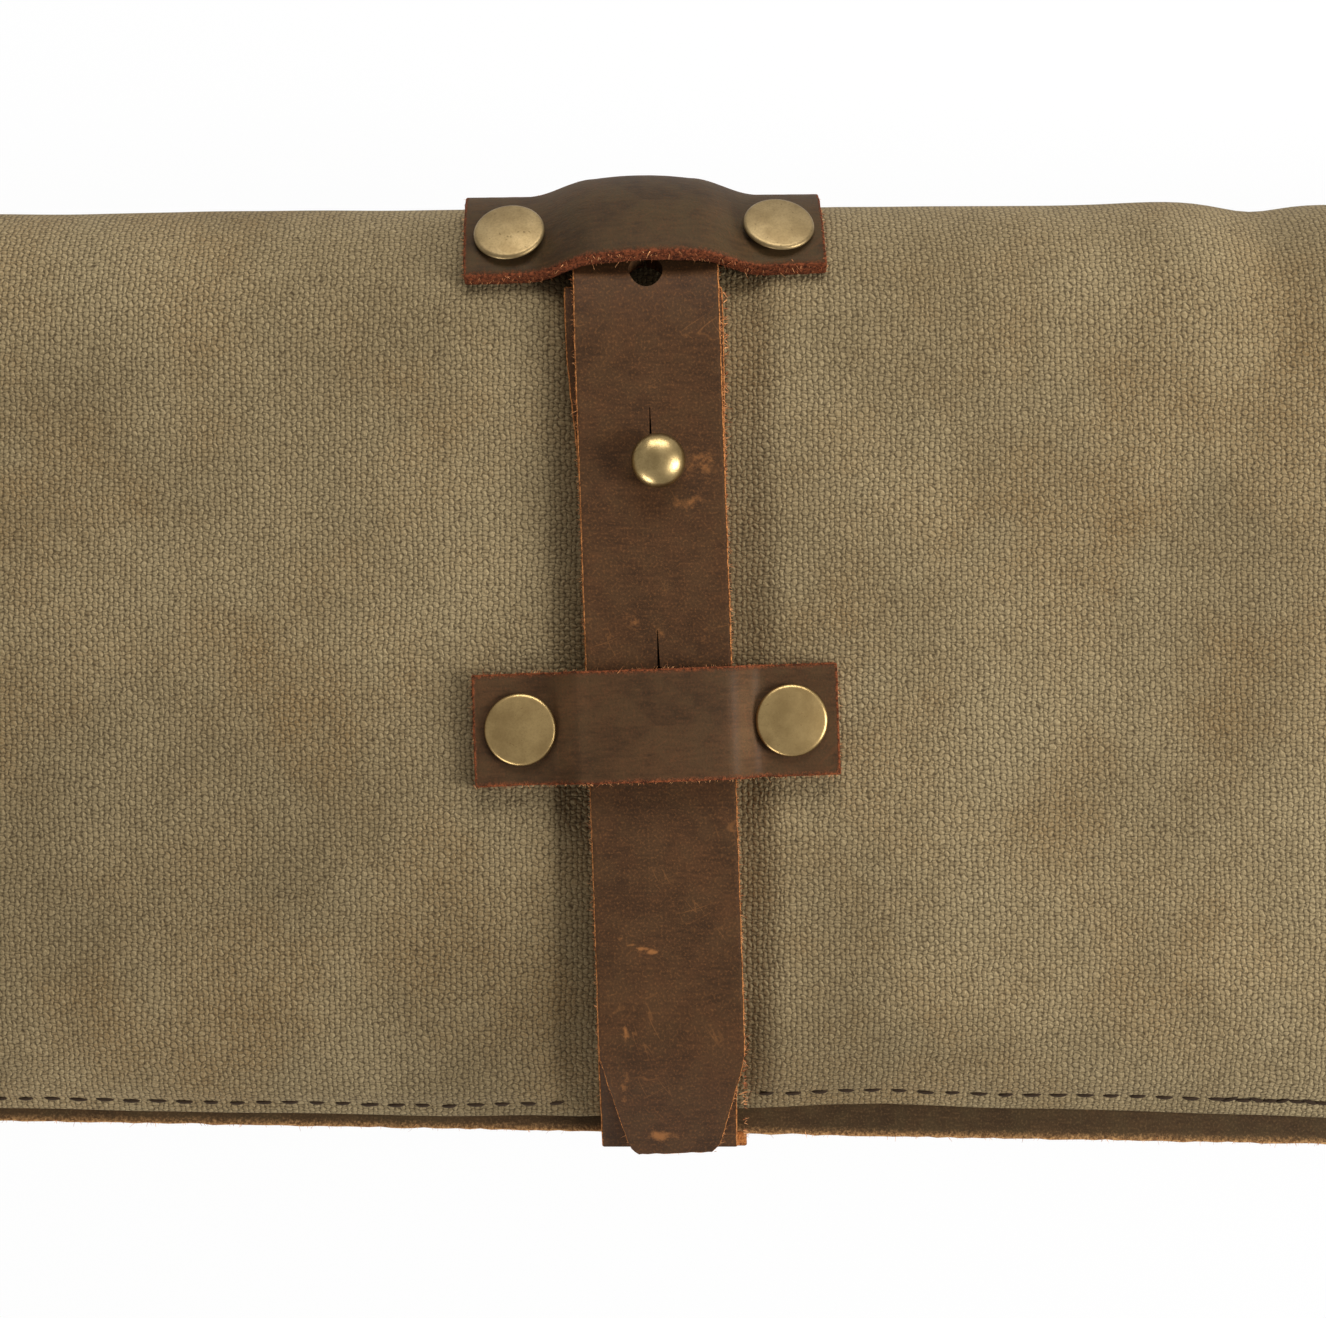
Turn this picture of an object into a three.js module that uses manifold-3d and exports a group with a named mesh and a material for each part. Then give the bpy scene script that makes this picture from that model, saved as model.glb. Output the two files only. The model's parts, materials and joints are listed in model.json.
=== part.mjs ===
// A belted knife roll: a waxed canvas wrap that folds round a leather divider and a row of
// knife slots, closed by a leather belt that buttons on a brass stud and runs under two
// riveted keepers. Millimetres, +Z up, X along the roll, the free hem towards -Y.
import * as THREE from "three";
import { mergeVertices } from "three/addons/utils/BufferGeometryUtils.js";
import Module from "manifold-3d";

const wasm = await Module();
wasm.setup();

// Driving dimensions of the folded roll.
const rollLength = 460;
const edgeRadius = 27; // the fold at the spine and the edge under the hem
const hemAngle = THREE.MathUtils.degToRad(55); // how far the cover turns down to its hem
const flatHalf = 55; // half the flat width of the front and the back
const canvasWall = 2.2;
const liningWall = 1.5;
const clearance = 0.3; // between pieces that touch
const foldGap = 0.5; // between the two halves of the canvas at the spine

// How the soft body swells beside the belt.
const backWaist = 3.3; // depth of the belt's bed in the back
const backWaistInner = 17;
const backWaistOuter = 45;
const seatSwell = 1.5; // rise of the canvas beside the belt, under the keeper ends
const seatInner = 16;
const seatOuter = 20;

// Leather belt and keepers.
const leatherWall = 3;
const beltWidth = 25.4;
const beltTilt = THREE.MathUtils.degToRad(2);
const holeRadius = 3;
const slitLength = 6;
const slitWidth = 0.7;
const studAt = 36.5; // distance of the stud from the middle of the front
const nextHoleBelow = 37.8; // the buttonholes are punched by hand, not quite evenly
const nextHoleAbove = 32;
const studEndAt = 66; // where the stud end stops, just short of the upper keeper
const tailAt = -27; // where the free tail starts to bend
const taperAt = -64.5;
const tipAt = -81;
const tipWidth = 15.5;
const keeperLength = 63.5;
const keeperWidth = 19.5;
const lowerKeeperAt = -9;
const upperKeeperAt = 78.6;
const archHalf = 12.9; // half the raised middle of a keeper
const upperArchHalf = 10.5; // rounder, as it lies on one layer of belt
const archCrown = 0.8; // rise of the raised middle towards its centre
const upperArchFall = 2; // the upper keeper is lower towards the spine, over one layer of belt
const beltRoom = 0.5; // round the raw edge of the divider

// Brass fittings.
const rivetInset = 8.4; // from each end of a keeper
const upperRivetDrop = 1.7; // the upper pair sits nearer the front edge of its keeper
const rivetCapRadius = 6.3;
const archFootShare = 1.2771; // the foot of a keeper's arch ends a little under its rivet caps
const archFoot = archHalf + (keeperLength / 2 - rivetInset - rivetCapRadius - archHalf) * archFootShare;
const rivetCapHeight = 1.5;
const rivetPostRadius = 2;
const rivetBoreRadius = 1.2;
const rivetDiscRadius = 4.5;
const rivetDiscHeight = 1;
const studRadius = 4.75;
const studNeckRadius = 2.4;
const studHeadHeight = 5.8;
const studScrewRadius = 1.4;
const studFlangeRadius = 4;
const studFlangeHeight = 1;

// Inside of the roll.
const dividerLength = 452;
const dividerReach = 4.1; // how far the raw edge shows past the hem at the middle
const dividerSkew = 0.0175; // its raw edge runs a little out of true
const liningInset = 5.5; // from the hem
const slotCount = 4;
const slotPitch = 26;
const slotHeight = 8;
const pocketWall = 1.6;
const pocketFoot = -216; // sewn end of the slots
const pocketMouth = 30; // open end of the slots
const pocketClosing = 16; // length over which the slots flatten to the sewn end

// Sizes that follow from the ones above.
const quarter = Math.PI / 2;
const coreHeight = backWaist + edgeRadius;
const spineAt = flatHalf + edgeRadius * quarter;
const girth = 4 * flatHalf + 4 * edgeRadius * quarter;
const depthHalf = flatHalf + edgeRadius;
const layerPitch = leatherWall + clearance;
const hemAt = flatHalf + edgeRadius * hemAngle;
const beltBase = edgeRadius + clearance; // radius of a belt that lies on the round edges

const canvas = new THREE.MeshStandardMaterial({ color: 0x857a58, roughness: 0.9 });
const lining = new THREE.MeshStandardMaterial({ color: 0x6f674c, roughness: 0.9 });
const leather = new THREE.MeshStandardMaterial({ color: 0x4a3323, roughness: 0.6 });
const brass = new THREE.MeshStandardMaterial({ color: 0x9b8656, roughness: 0.35, metalness: 1 });

// Smooth rise from 0 to 1 between two places.
const rise = (value, from, to) => THREE.MathUtils.smoothstep(value, from, to);

// A point on the folded roll. along runs round the girth from the middle of the front towards
// the spine, and out is the height above the waist of the canvas.
function onRoll(x, along, out) {
  const turn = along - girth * Math.round(along / girth);
  const side = Math.sign(turn) || 1;
  const run = Math.abs(turn);
  const angle = THREE.MathUtils.clamp((run - flatHalf) / edgeRadius, 0, Math.PI);
  const past = Math.max(0, run - flatHalf - Math.PI * edgeRadius);
  const reach = Math.min(run, flatHalf) - past + (edgeRadius + out) * Math.sin(angle);
  const normal = new THREE.Vector3(0, side * Math.sin(angle), Math.cos(angle));
  const point = new THREE.Vector3(x, side * reach, coreHeight + (edgeRadius + out) * Math.cos(angle));
  return { point, normal };
}

// A frame on the roll for a small fitting: its Z axis is the outward normal.
function seatOn(x, along, out) {
  const { point, normal } = onRoll(x, along, out);
  const across = new THREE.Vector3(1, 0, 0);
  const up = new THREE.Vector3().crossVectors(normal, across);
  return new THREE.Matrix4().makeBasis(across, up, normal).setPosition(point);
}

// Swell of the canvas beside the belt. The back sinks deeper than the front, meets it at the
// spine and stays flat towards the hem.
const coverSwell = (x) => seatSwell * rise(Math.abs(x), seatInner, seatOuter);
function backSwell(x, along) {
  const { normal } = onRoll(x, along, 0);
  const beside = normal.y > 0 ? coverSwell(x) : 0;
  const bed = backWaist * rise(Math.abs(x), backWaistInner, backWaistOuter);
  return THREE.MathUtils.lerp(beside, bed, Math.max(0, -normal.z));
}

// The divider rises from the spine to lie just under the hem of the cover.
const dividerSpine = depthHalf - canvasWall - clearance;
const hemFoot = onRoll(0, -hemAt, -canvasWall).point;
const hemEdge = onRoll(0, -hemAt, seatSwell).point;
const hemDrop = hemFoot.z - clearance - leatherWall / 2 - coreHeight;
const dividerSlope = hemDrop / (dividerSpine - hemFoot.y);
const dividerHeight = (y) => coreHeight + dividerSlope * (dividerSpine - y);
const dividerEdge = (x) => hemEdge.y - dividerReach - dividerSkew * x;

// The edge of the back lies just under the divider, where the round edge meets that slope.
const backHemDrop = dividerSlope * (dividerSpine + flatHalf) - leatherWall / 2 - clearance;
const slopeLength = edgeRadius * Math.hypot(1, dividerSlope);
const backHemAngle = Math.acos(backHemDrop / slopeLength) - Math.atan(dividerSlope);
const backHemAt = flatHalf + edgeRadius * backHemAngle;

// The belt runs a little out of square, so its middle shifts as it goes round.
function beltMiddle(along) {
  const turn = along - girth * Math.round(along / girth);
  if (Math.abs(turn) <= spineAt) return -Math.tan(beltTilt) * turn;
  const atSpine = -Math.tan(beltTilt) * spineAt;
  const share = (girth / 2 - Math.abs(turn)) / (girth / 2 - spineAt);
  return Math.sign(turn) * atSpine * share;
}

// A place on the front turned with the belt, for keepers and rivets that stand square to it.
function squareToBelt(x, along) {
  return {
    x: x * Math.cos(beltTilt) - along * Math.sin(beltTilt),
    along: x * Math.sin(beltTilt) + along * Math.cos(beltTilt),
  };
}

// Evenly spaced values from one place to another.
const spread = (from, to, steps) =>
  Array.from({ length: steps + 1 }, (_, i) => from + ((to - from) * i) / steps);

// A closed sheet of leather or canvas. It starts as a box with one cell for each pair of
// stations, and place(a, b, side) sends each corner to the roll, side 0 inside and 1 outside.
function sheet(stationsA, stationsB, place) {
  const box = new THREE.BoxGeometry(1, 1, 1, stationsA.length - 1, stationsB.length - 1, 1);
  box.translate(0.5, 0.5, 0.5);
  const corners = box.getAttribute("position");
  for (let i = 0; i < corners.count; i++) {
    const a = stationsA[Math.round(corners.getX(i) * (stationsA.length - 1))];
    const b = stationsB[Math.round(corners.getY(i) * (stationsB.length - 1))];
    const point = place(a, b, Math.round(corners.getZ(i)));
    corners.setXYZ(i, point.x, point.y, point.z);
  }
  return box;
}

// A geometry as a solid for joining and cutting, turned face out if it is inside out.
function solidOf(geometry) {
  const bare = geometry.index ? geometry.toNonIndexed() : geometry.clone();
  bare.deleteAttribute("normal");
  bare.deleteAttribute("uv");
  const merged = mergeVertices(bare, 1e-4);
  const triVerts = new Uint32Array(merged.index.array);
  const vertProperties = merged.getAttribute("position").array;
  const made = new wasm.Manifold(new wasm.Mesh({ numProp: 3, vertProperties, triVerts }));
  if (made.volume() > 0) return made;
  return new wasm.Manifold(new wasm.Mesh({ numProp: 3, vertProperties, triVerts: triVerts.reverse() }));
}

// A solid back as a geometry with flat-shaded faces.
function geometryOf(solid) {
  const mesh = solid.getMesh();
  const geometry = new THREE.BufferGeometry();
  geometry.setAttribute("position", new THREE.BufferAttribute(mesh.vertProperties, 3));
  geometry.setIndex(new THREE.BufferAttribute(mesh.triVerts, 1));
  const faceted = geometry.toNonIndexed();
  faceted.computeVertexNormals();
  return faceted;
}

// The geometry less each cutter.
function cut(geometry, cutters = []) {
  return geometryOf(cutters.reduce((left, tool) => left.subtract(solidOf(tool)), solidOf(geometry)));
}

// A round bar from one height to another along a seat's normal.
function bar(radius, low, high, seat, sides = 20) {
  const cylinder = new THREE.CylinderGeometry(radius, radius, high - low, sides);
  return cylinder.rotateX(quarter).translate(0, 0, (low + high) / 2).applyMatrix4(seat);
}

// A turned piece from radius and height pairs, standing on a seat.
function turned(profile, seat, sides = 28) {
  const points = profile.map(([radius, height]) => new THREE.Vector2(radius, height));
  return new THREE.LatheGeometry(points, sides).rotateX(quarter).applyMatrix4(seat);
}

const roll = new THREE.Group();
function add(name, geometry, material) {
  const mesh = new THREE.Mesh(geometry, material);
  mesh.name = name;
  roll.add(mesh);
}

// Stations along the roll, close together where the canvas swells beside the belt.
const mirrored = (stations) => [...stations.map((x) => -x).reverse(), ...stations];
const frontStations = mirrored([...spread(seatInner, seatOuter, 3), rollLength / 2]);
const bedStations = spread(seatOuter, backWaistOuter, 5);
const backStations = mirrored([...spread(seatInner, seatOuter, 3), ...bedStations.slice(1), rollLength / 2]);
const edgeSteps = 8;

// Rivets stand at both ends of each keeper.
const keepers = [
  { row: "upper", at: upperKeeperAt, half: upperArchHalf, fall: upperArchFall, rivetDrop: upperRivetDrop },
  { row: "lower", at: lowerKeeperAt, half: archHalf, fall: 0, rivetDrop: 0 },
];
const rivetPlaces = [];
for (const { row, at, rivetDrop } of keepers) {
  for (const [end, sign] of [["left", -1], ["right", 1]]) {
    const { x, along } = squareToBelt(sign * (keeperLength / 2 - rivetInset), at - rivetDrop);
    rivetPlaces.push({ name: `${row}_${end}`, row, seat: seatOn(x, along, seatSwell) });
  }
}
// The flat discs need room against the hollow side of the lining where it bends.
const liningHollow = edgeRadius - canvasWall - clearance - liningWall;
const discSag = 1.4 * (liningHollow - Math.sqrt(liningHollow ** 2 - rivetDiscRadius ** 2));
const rivetDepth = canvasWall + seatSwell + clearance + liningWall + clearance + discSag;
const rivetTop = clearance + leatherWall;
const rivetHoles = (places) =>
  places.map(({ seat }) => bar(rivetPostRadius + clearance, -rivetDepth - 1, rivetTop + 1, seat));

// Front cover: canvas from the fold at the spine, over the front, to the free hem.
const coverAlong = [
  ...spread(-hemAt, -flatHalf, edgeSteps),
  ...spread(-flatHalf, flatHalf, 2).slice(1, -1),
  ...spread(flatHalf, spineAt - foldGap / 2, edgeSteps),
];
const coverSheet = sheet(
  frontStations,
  coverAlong,
  (x, along, side) => onRoll(x, along, side ? coverSwell(x) : -canvasWall).point,
);
add("front_cover", cut(coverSheet, rivetHoles(rivetPlaces)), canvas);

// Lining sewn inside the cover, which the rivets also pass through.
const liningEnd = rollLength / 2 - 6;
const liningOut = -canvasWall - clearance;
const liningReach = flatHalf + edgeRadius * 1.3;
const liningAlong = [
  ...spread(liningInset - hemAt, -flatHalf, edgeSteps - 4),
  ...spread(flatHalf, liningReach, edgeSteps - 2),
];
const coverLining = sheet(
  spread(-liningEnd, liningEnd, 4),
  liningAlong,
  (x, along, side) => onRoll(x, along, side ? liningOut : liningOut - liningWall).point,
);
add("cover_lining", cut(coverLining, rivetHoles(rivetPlaces)), lining);

// Back panel: canvas from the spine, under the roll, to the edge below the hem.
const backAlong = [
  ...spread(spineAt + foldGap / 2, flatHalf + Math.PI * edgeRadius, edgeSteps),
  ...spread(girth - flatHalf - Math.PI * edgeRadius, girth - backHemAt, edgeSteps),
];
const backSheet = sheet(
  backStations,
  backAlong,
  (x, along, side) => onRoll(x, along, side ? backSwell(x, along) : -canvasWall).point,
);
add("back_panel", cut(backSheet), canvas);

// Lining of the back, flat under the knife slots.
const slotsHalf = (slotCount * slotPitch) / 2;
const backLining = sheet(
  [-liningEnd, liningEnd],
  spread(girth / 2 - slotsHalf, girth / 2 + slotsHalf, 2),
  (x, along, side) => onRoll(x, along, side ? liningOut : liningOut - liningWall).point,
);
add("back_lining", cut(backLining), lining);

// Knife slots: one leather panel sewn down between the slots, so that each one arches up.
const pocketOut = liningOut - liningWall - clearance;
const archStations = spread(-slotsHalf, slotsHalf, slotCount * 8);
const pocketStations = [...spread(pocketFoot, pocketFoot + pocketClosing, 3), pocketMouth];
function slotArch(x, across) {
  const share = Math.abs(Math.sin((Math.PI * (across + slotsHalf)) / slotPitch));
  return slotHeight * Math.pow(share, 0.6) * rise(x, pocketFoot, pocketFoot + pocketClosing);
}
const pocketSheet = sheet(
  pocketStations,
  archStations,
  (x, across, side) => {
    const out = pocketOut - slotArch(x, across) - (side ? 0 : pocketWall);
    return onRoll(x, girth / 2 - across, out).point;
  },
);
add("knife_pockets", cut(pocketSheet), leather);

// Leather divider, sewn in at the spine, with its raw edge showing past the hem.
const dividerShape = new THREE.Shape();
dividerShape.moveTo(-dividerLength / 2, dividerSpine);
dividerShape.lineTo(-dividerLength / 2, dividerEdge(-dividerLength / 2));
dividerShape.lineTo(dividerLength / 2, dividerEdge(dividerLength / 2));
dividerShape.lineTo(dividerLength / 2, dividerSpine);
const dividerSlab = new THREE.ExtrudeGeometry(dividerShape, { depth: leatherWall, bevelEnabled: false });
const dividerRise = new THREE.Matrix4().set(
  1, 0, 0, 0,
  0, 1, 0, 0,
  0, -dividerSlope, 1, dividerHeight(0) - leatherWall / 2,
  0, 0, 0, 1,
);
add("divider_page", cut(dividerSlab.applyMatrix4(dividerRise)), leather);

// The belt is drawn taut: over a corner that stands off a round edge it runs straight, and
// beyond the two places where those straight runs touch the canvas it lies on it.
const tautHalf = (corner) => Math.acos(beltBase / corner.radius);
function tautRadius(angle, corner) {
  const lean = tautHalf(corner) - Math.abs(angle - corner.angle);
  return beltBase / Math.cos(Math.max(0, lean));
}
const touchAt = (corner, side) => flatHalf + edgeRadius * (corner.angle + side * tautHalf(corner));

// At the hem that corner is the raw edge of the divider.
const beltEdge = dividerEdge(beltMiddle(-hemAt) + beltWidth / 2);
const cornerReach = beltRoom - beltEdge - flatHalf;
const cornerRise = dividerHeight(beltEdge) + leatherWall / 2 + beltRoom - coreHeight;
const hemCorner = { angle: Math.atan2(cornerReach, cornerRise), radius: Math.hypot(cornerReach, cornerRise) };
const hemCornerAt = flatHalf + edgeRadius * hemCorner.angle;
const hemSeamAt = hemCornerAt + leatherWall / 2;
function standOff(along) {
  const turn = along - girth * Math.round(along / girth);
  return tautRadius((-turn - flatHalf) / edgeRadius, hemCorner) - edgeRadius;
}
// Towards the spine it is the end of the belt's own stud end.
const studEndCorner = { angle: (studEndAt - flatHalf) / edgeRadius, radius: beltBase + layerPitch };
function upperLayer(along) {
  if (along <= studEndAt) return standOff(along) + layerPitch;
  return tautRadius((along - flatHalf) / edgeRadius, studEndCorner) - edgeRadius;
}

function strap(stations, outOf, halfWidth = () => beltWidth / 2) {
  return sheet([-1, 1], stations, (edge, along, side) => {
    const x = beltMiddle(along) + edge * halfWidth(along);
    return onRoll(x, along, outOf(along) + (side ? leatherWall : 0)).point;
  });
}

// Each buttonhole is a round hole with a slit towards the spine, through which the stud passes.
function buttonhole(along) {
  const seat = seatOn(beltMiddle(along), along, clearance + layerPitch);
  const slit = new THREE.BoxGeometry(slitWidth, slitLength, 4 * leatherWall);
  slit.translate(0, holeRadius + slitLength / 2 - 0.5, -leatherWall / 2).applyMatrix4(seat);
  return [bar(holeRadius, -2, leatherWall + 2, seat), slit];
}
// Both layers of the belt bend at the same stations, so their facets lie on each other.
const spineArc = [
  ...spread(flatHalf, studEndAt, 3),
  ...spread(studEndAt, touchAt(studEndCorner, 1), 2).slice(1),
  ...spread(touchAt(studEndCorner, 1), spineAt - foldGap / 2, 4).slice(1),
];
const hemArc = [
  ...spread(flatHalf, touchAt(hemCorner, -1), 3),
  ...spread(touchAt(hemCorner, -1), hemCornerAt, 3).slice(1),
  -taperAt,
  -tipAt,
  hemSeamAt - foldGap / 2,
].map((along) => -along);
hemArc.sort((a, b) => a - b);
const tongueStations = [tailAt + clearance, ...spineArc];
const holePlaces = [studAt - nextHoleBelow, studAt, studAt + nextHoleAbove];
const buttonholes = holePlaces.flatMap(buttonhole);
add("belt_tongue", cut(strap(tongueStations, upperLayer), buttonholes), leather);

// Free tail of the belt, tapering to a blunt tip that turns over the hem.
const tailWidth = (along) => {
  const share = THREE.MathUtils.clamp((taperAt - along) / (taperAt - tipAt), 0, 1);
  return THREE.MathUtils.lerp(beltWidth, tipWidth, share) / 2;
};
const tailStations = [...hemArc.filter((along) => along >= tipAt), tailAt - clearance];
add("belt_tail", cut(strap(tailStations, upperLayer, tailWidth)), leather);

// Stud end of the belt, under the tongue, from below the upper keeper to the hem.
const studSeat = seatOn(beltMiddle(studAt), studAt, clearance);
const flangeRoom = studFlangeHeight + 2 * clearance;
const studEndStations = [...hemArc, ...spineArc.filter((along) => along <= studEndAt)];
const studEndHoles = [
  bar(studFlangeRadius + clearance, -1, flangeRoom, studSeat),
  bar(studScrewRadius + clearance, -1, leatherWall + 1, studSeat),
];
add("belt_stud_end", cut(strap(studEndStations, standOff), studEndHoles), leather);

// Middle of the belt, from the spine under the back to the hem.
const middleStations = [
  ...spread(spineAt + foldGap / 2, flatHalf + Math.PI * edgeRadius, edgeSteps),
  ...spread(girth - flatHalf - Math.PI * edgeRadius, girth - touchAt(hemCorner, 1), edgeSteps),
  ...spread(girth - touchAt(hemCorner, 1), girth - hemSeamAt - foldGap / 2, 2).slice(1),
];
add("belt_back", cut(strap(middleStations, standOff)), leather);

// Stud: a ball head on a neck, screwed on a flanged base let into the stud end.
const screwTop = leatherWall + 3;
const neckFoot = leatherWall + clearance;
const headFoot = neckFoot + layerPitch + clearance;
const ballSteps = spread(-0.75 * quarter, quarter, 8);
const ballHeight = studHeadHeight / (1 + Math.sin(0.75 * quarter));
const ballMiddle = headFoot + studHeadHeight - ballHeight;
const ball = ballSteps.map((a) => [studRadius * Math.cos(a), ballMiddle + ballHeight * Math.sin(a)]);
ball[ball.length - 1][0] = 0;
const screwRoom = studScrewRadius + clearance;
const studHead = [
  [0, screwTop + clearance],
  [screwRoom, screwTop + clearance],
  [screwRoom, neckFoot],
  [studNeckRadius, neckFoot],
  [studNeckRadius, headFoot],
  ...ball,
];
add("stud_head", cut(turned(studHead, studSeat)), brass);
const studBase = [
  [0, clearance / 2],
  [studFlangeRadius, clearance / 2],
  [studFlangeRadius, clearance / 2 + studFlangeHeight],
  [studScrewRadius, clearance / 2 + studFlangeHeight],
  [studScrewRadius, screwTop],
  [0, screwTop],
];
add("stud_base", cut(turned(studBase, studSeat)), brass);

// Keepers: leather loops that lie on the canvas at both ends and arch over the belt.
const archRise = 2 * layerPitch - seatSwell;
const keeperEnd = keeperLength / 2;
const keeperSteps = 6;
for (const { row, at, half, fall } of keepers) {
  const footStations = [...spread(half, archFoot, 5).slice(1), keeperEnd];
  const across = [...footStations.map((x) => -x).reverse(), ...spread(-half, half, 6), ...footStations];
  const keeper = sheet(across, spread(0, 1, keeperSteps), (from, share, side) => {
    const { x, along } = squareToBelt(from, at + (share - 0.5) * keeperWidth);
    const reach = Math.min(1, Math.abs(from) / half);
    const arch = (archRise - fall * share) * (1 - rise(Math.abs(from), half, archFoot));
    const lift = seatSwell + clearance + arch + archCrown * (1 - reach ** 2);
    return onRoll(x, along, lift + (side ? leatherWall : 0)).point;
  });
  const holes = rivetHoles(rivetPlaces.filter((place) => place.row === row));
  add(`${row}_keeper`, cut(keeper, holes), leather);
}

// Rivets: a domed cap whose pin sits in a tubular post with a disc inside the lining.
const pinRadius = rivetBoreRadius - clearance;
const capFoot = rivetTop + clearance;
const capRim = 0.5;
const rivetCap = [
  [0, -1],
  [pinRadius, -1],
  [pinRadius, capFoot],
  [rivetCapRadius - capRim, capFoot],
  [rivetCapRadius, capFoot + capRim],
  [rivetCapRadius - 0.4, capFoot + rivetCapHeight * 0.7],
  [rivetCapRadius - 1.3, capFoot + rivetCapHeight * 0.9],
  [0, capFoot + rivetCapHeight],
];
const rivetPost = [
  [0, -rivetDepth - rivetDiscHeight],
  [rivetDiscRadius, -rivetDepth - rivetDiscHeight],
  [rivetDiscRadius, -rivetDepth],
  [rivetPostRadius, -rivetDepth],
  [rivetPostRadius, rivetTop],
  [rivetBoreRadius, rivetTop],
  [rivetBoreRadius, -1 - clearance],
  [0, -1 - clearance],
];
for (const { name, seat } of rivetPlaces) {
  add(`rivet_cap_${name}`, cut(turned(rivetCap, seat)), brass);
  add(`rivet_post_${name}`, cut(turned(rivetPost, seat)), brass);
}

export default roll;
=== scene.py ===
# %% [markdown]
# # A belted knife roll
# The object is a roll of waxed canvas, folded at a spine and held shut by a leather belt. The
# belt runs under two riveted keepers and buttons on a brass stud. We load the measured model
# first, because every piece below takes its place from it, and then dress it piece by piece,
# the way a maker would: cut flat, marked, punched, and only then wrapped round the roll.

# %% Load the measured frame
import json
import math
import random

import bpy
import numpy as np
from mathutils import Matrix, Vector, noise


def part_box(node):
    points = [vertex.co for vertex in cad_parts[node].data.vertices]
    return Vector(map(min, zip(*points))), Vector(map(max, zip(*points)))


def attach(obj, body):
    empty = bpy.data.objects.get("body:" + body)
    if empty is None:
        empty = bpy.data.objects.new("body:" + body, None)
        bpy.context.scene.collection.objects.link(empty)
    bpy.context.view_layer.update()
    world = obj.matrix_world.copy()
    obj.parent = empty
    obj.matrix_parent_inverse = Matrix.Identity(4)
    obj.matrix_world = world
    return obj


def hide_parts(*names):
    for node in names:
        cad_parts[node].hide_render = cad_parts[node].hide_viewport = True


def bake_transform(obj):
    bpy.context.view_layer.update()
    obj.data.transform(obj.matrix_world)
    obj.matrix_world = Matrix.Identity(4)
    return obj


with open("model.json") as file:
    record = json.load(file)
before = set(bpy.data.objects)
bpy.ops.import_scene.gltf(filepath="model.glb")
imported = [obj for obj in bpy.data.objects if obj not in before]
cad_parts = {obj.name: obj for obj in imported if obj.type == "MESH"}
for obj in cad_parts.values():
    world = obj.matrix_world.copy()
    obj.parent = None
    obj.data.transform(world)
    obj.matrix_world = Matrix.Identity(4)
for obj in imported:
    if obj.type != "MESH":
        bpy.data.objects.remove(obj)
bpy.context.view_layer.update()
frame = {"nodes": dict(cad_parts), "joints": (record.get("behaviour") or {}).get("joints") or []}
mm = 0.001
random.seed(11)
noise.seed_set(11)

# %% [markdown]
# ## The shape that everything lies on
# In section the roll is a flat oval: two flat sides joined by round edges. One function knows
# that oval. It takes a point of a flat pattern and says where the point lies after wrapping:
# `along` runs round the girth from the middle of the front towards the spine, and `out` is
# the height above the canvas. The spine, stuffed by the fold, stands out a little more than
# the measured model. Blender's own bend tool needs a window, and it can't follow two bends at
# once, so a formula is both simpler and exact.

# %% The oval of the roll
hinges = {joint["name"]: joint for joint in frame["joints"]}
core_height = hinges["cover_open"]["pos_m"][2]
cover_low, cover_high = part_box("front_cover")
roll_length = cover_high.x - cover_low.x
seat_swell = 1.5 * mm
edge_radius = cover_high.z - core_height - seat_swell
flat_half = cover_high.y - seat_swell - edge_radius
quarter_turn = math.pi / 2
spine_at = flat_half + edge_radius * quarter_turn
girth = 4 * flat_half + 4 * edge_radius * quarter_turn
leather_wall = 3 * mm
gap = 0.3 * mm
layer_pitch = leather_wall + gap
spine_bulge = 1.4 * mm


def short_way(along):
    """The same place, counted the shorter way round from the middle of the front."""
    return along - girth * np.round(along / girth)


def on_roll(x, along, out):
    """Where points of a flat pattern lie once they are wrapped round the roll."""
    turn = short_way(along)
    side = np.where(turn < 0, -1.0, 1.0)
    run = np.abs(turn)
    angle = np.clip((run - flat_half) / edge_radius, 0, np.pi)
    past = np.maximum(0, run - flat_half - np.pi * edge_radius)
    reach = edge_radius + out + np.where(turn > 0, spine_bulge, 0)
    y = side * (np.minimum(run, flat_half) - past + reach * np.sin(angle))
    z = core_height + (edge_radius + out) * np.cos(angle)
    return np.stack([x + 0 * y, y, z], axis=-1)


def rise(value, low, high):
    """A smooth step from 0 to 1 between two places."""
    share = np.clip((np.asarray(value, float) - low) / (high - low), 0, 1)
    return share * share * (3 - 2 * share)


def bump(value, middle, half):
    """A soft bump of height 1 round its middle."""
    return np.exp(-(((value - middle) / half) ** 2))


print(f"girth {girth / mm:.0f} mm, edge radius {edge_radius / mm:.1f} mm")

# %% [markdown]
# ## Small tools of the workbench
# Each operator in Blender works on whatever is selected, so a few helpers keep that tidy: one
# picks a single object, one adds and names a mesh, one applies a modifier, and two read and
# write a mesh's points all at once. `keep_pattern` stores the flat pattern as a UV map in
# metres before wrapping, so weave and grain follow the material round every bend.

# %% Workbench helpers


def pick(piece):
    """Selects one object alone and makes it active."""
    bpy.ops.object.select_all(action="DESELECT")
    piece.select_set(True)
    bpy.context.view_layer.objects.active = piece
    return piece


def added(name, operator, **settings):
    """Adds a mesh with one of Blender's operators and names it."""
    bpy.ops.object.select_all(action="DESELECT")
    operator(**settings)
    piece = bpy.context.object
    piece.name = piece.data.name = name
    return piece


def in_scene(name, data):
    """Puts a mesh, a lamp or a camera into the scene."""
    thing = bpy.data.objects.new(name, data)
    bpy.context.scene.collection.objects.link(thing)
    return thing


def from_points(name, points, links, faces):
    """Makes a mesh straight from lists of points, edges and faces."""
    mesh = bpy.data.meshes.new(name)
    mesh.from_pydata(points, links, faces)
    return in_scene(name, mesh)


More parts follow.
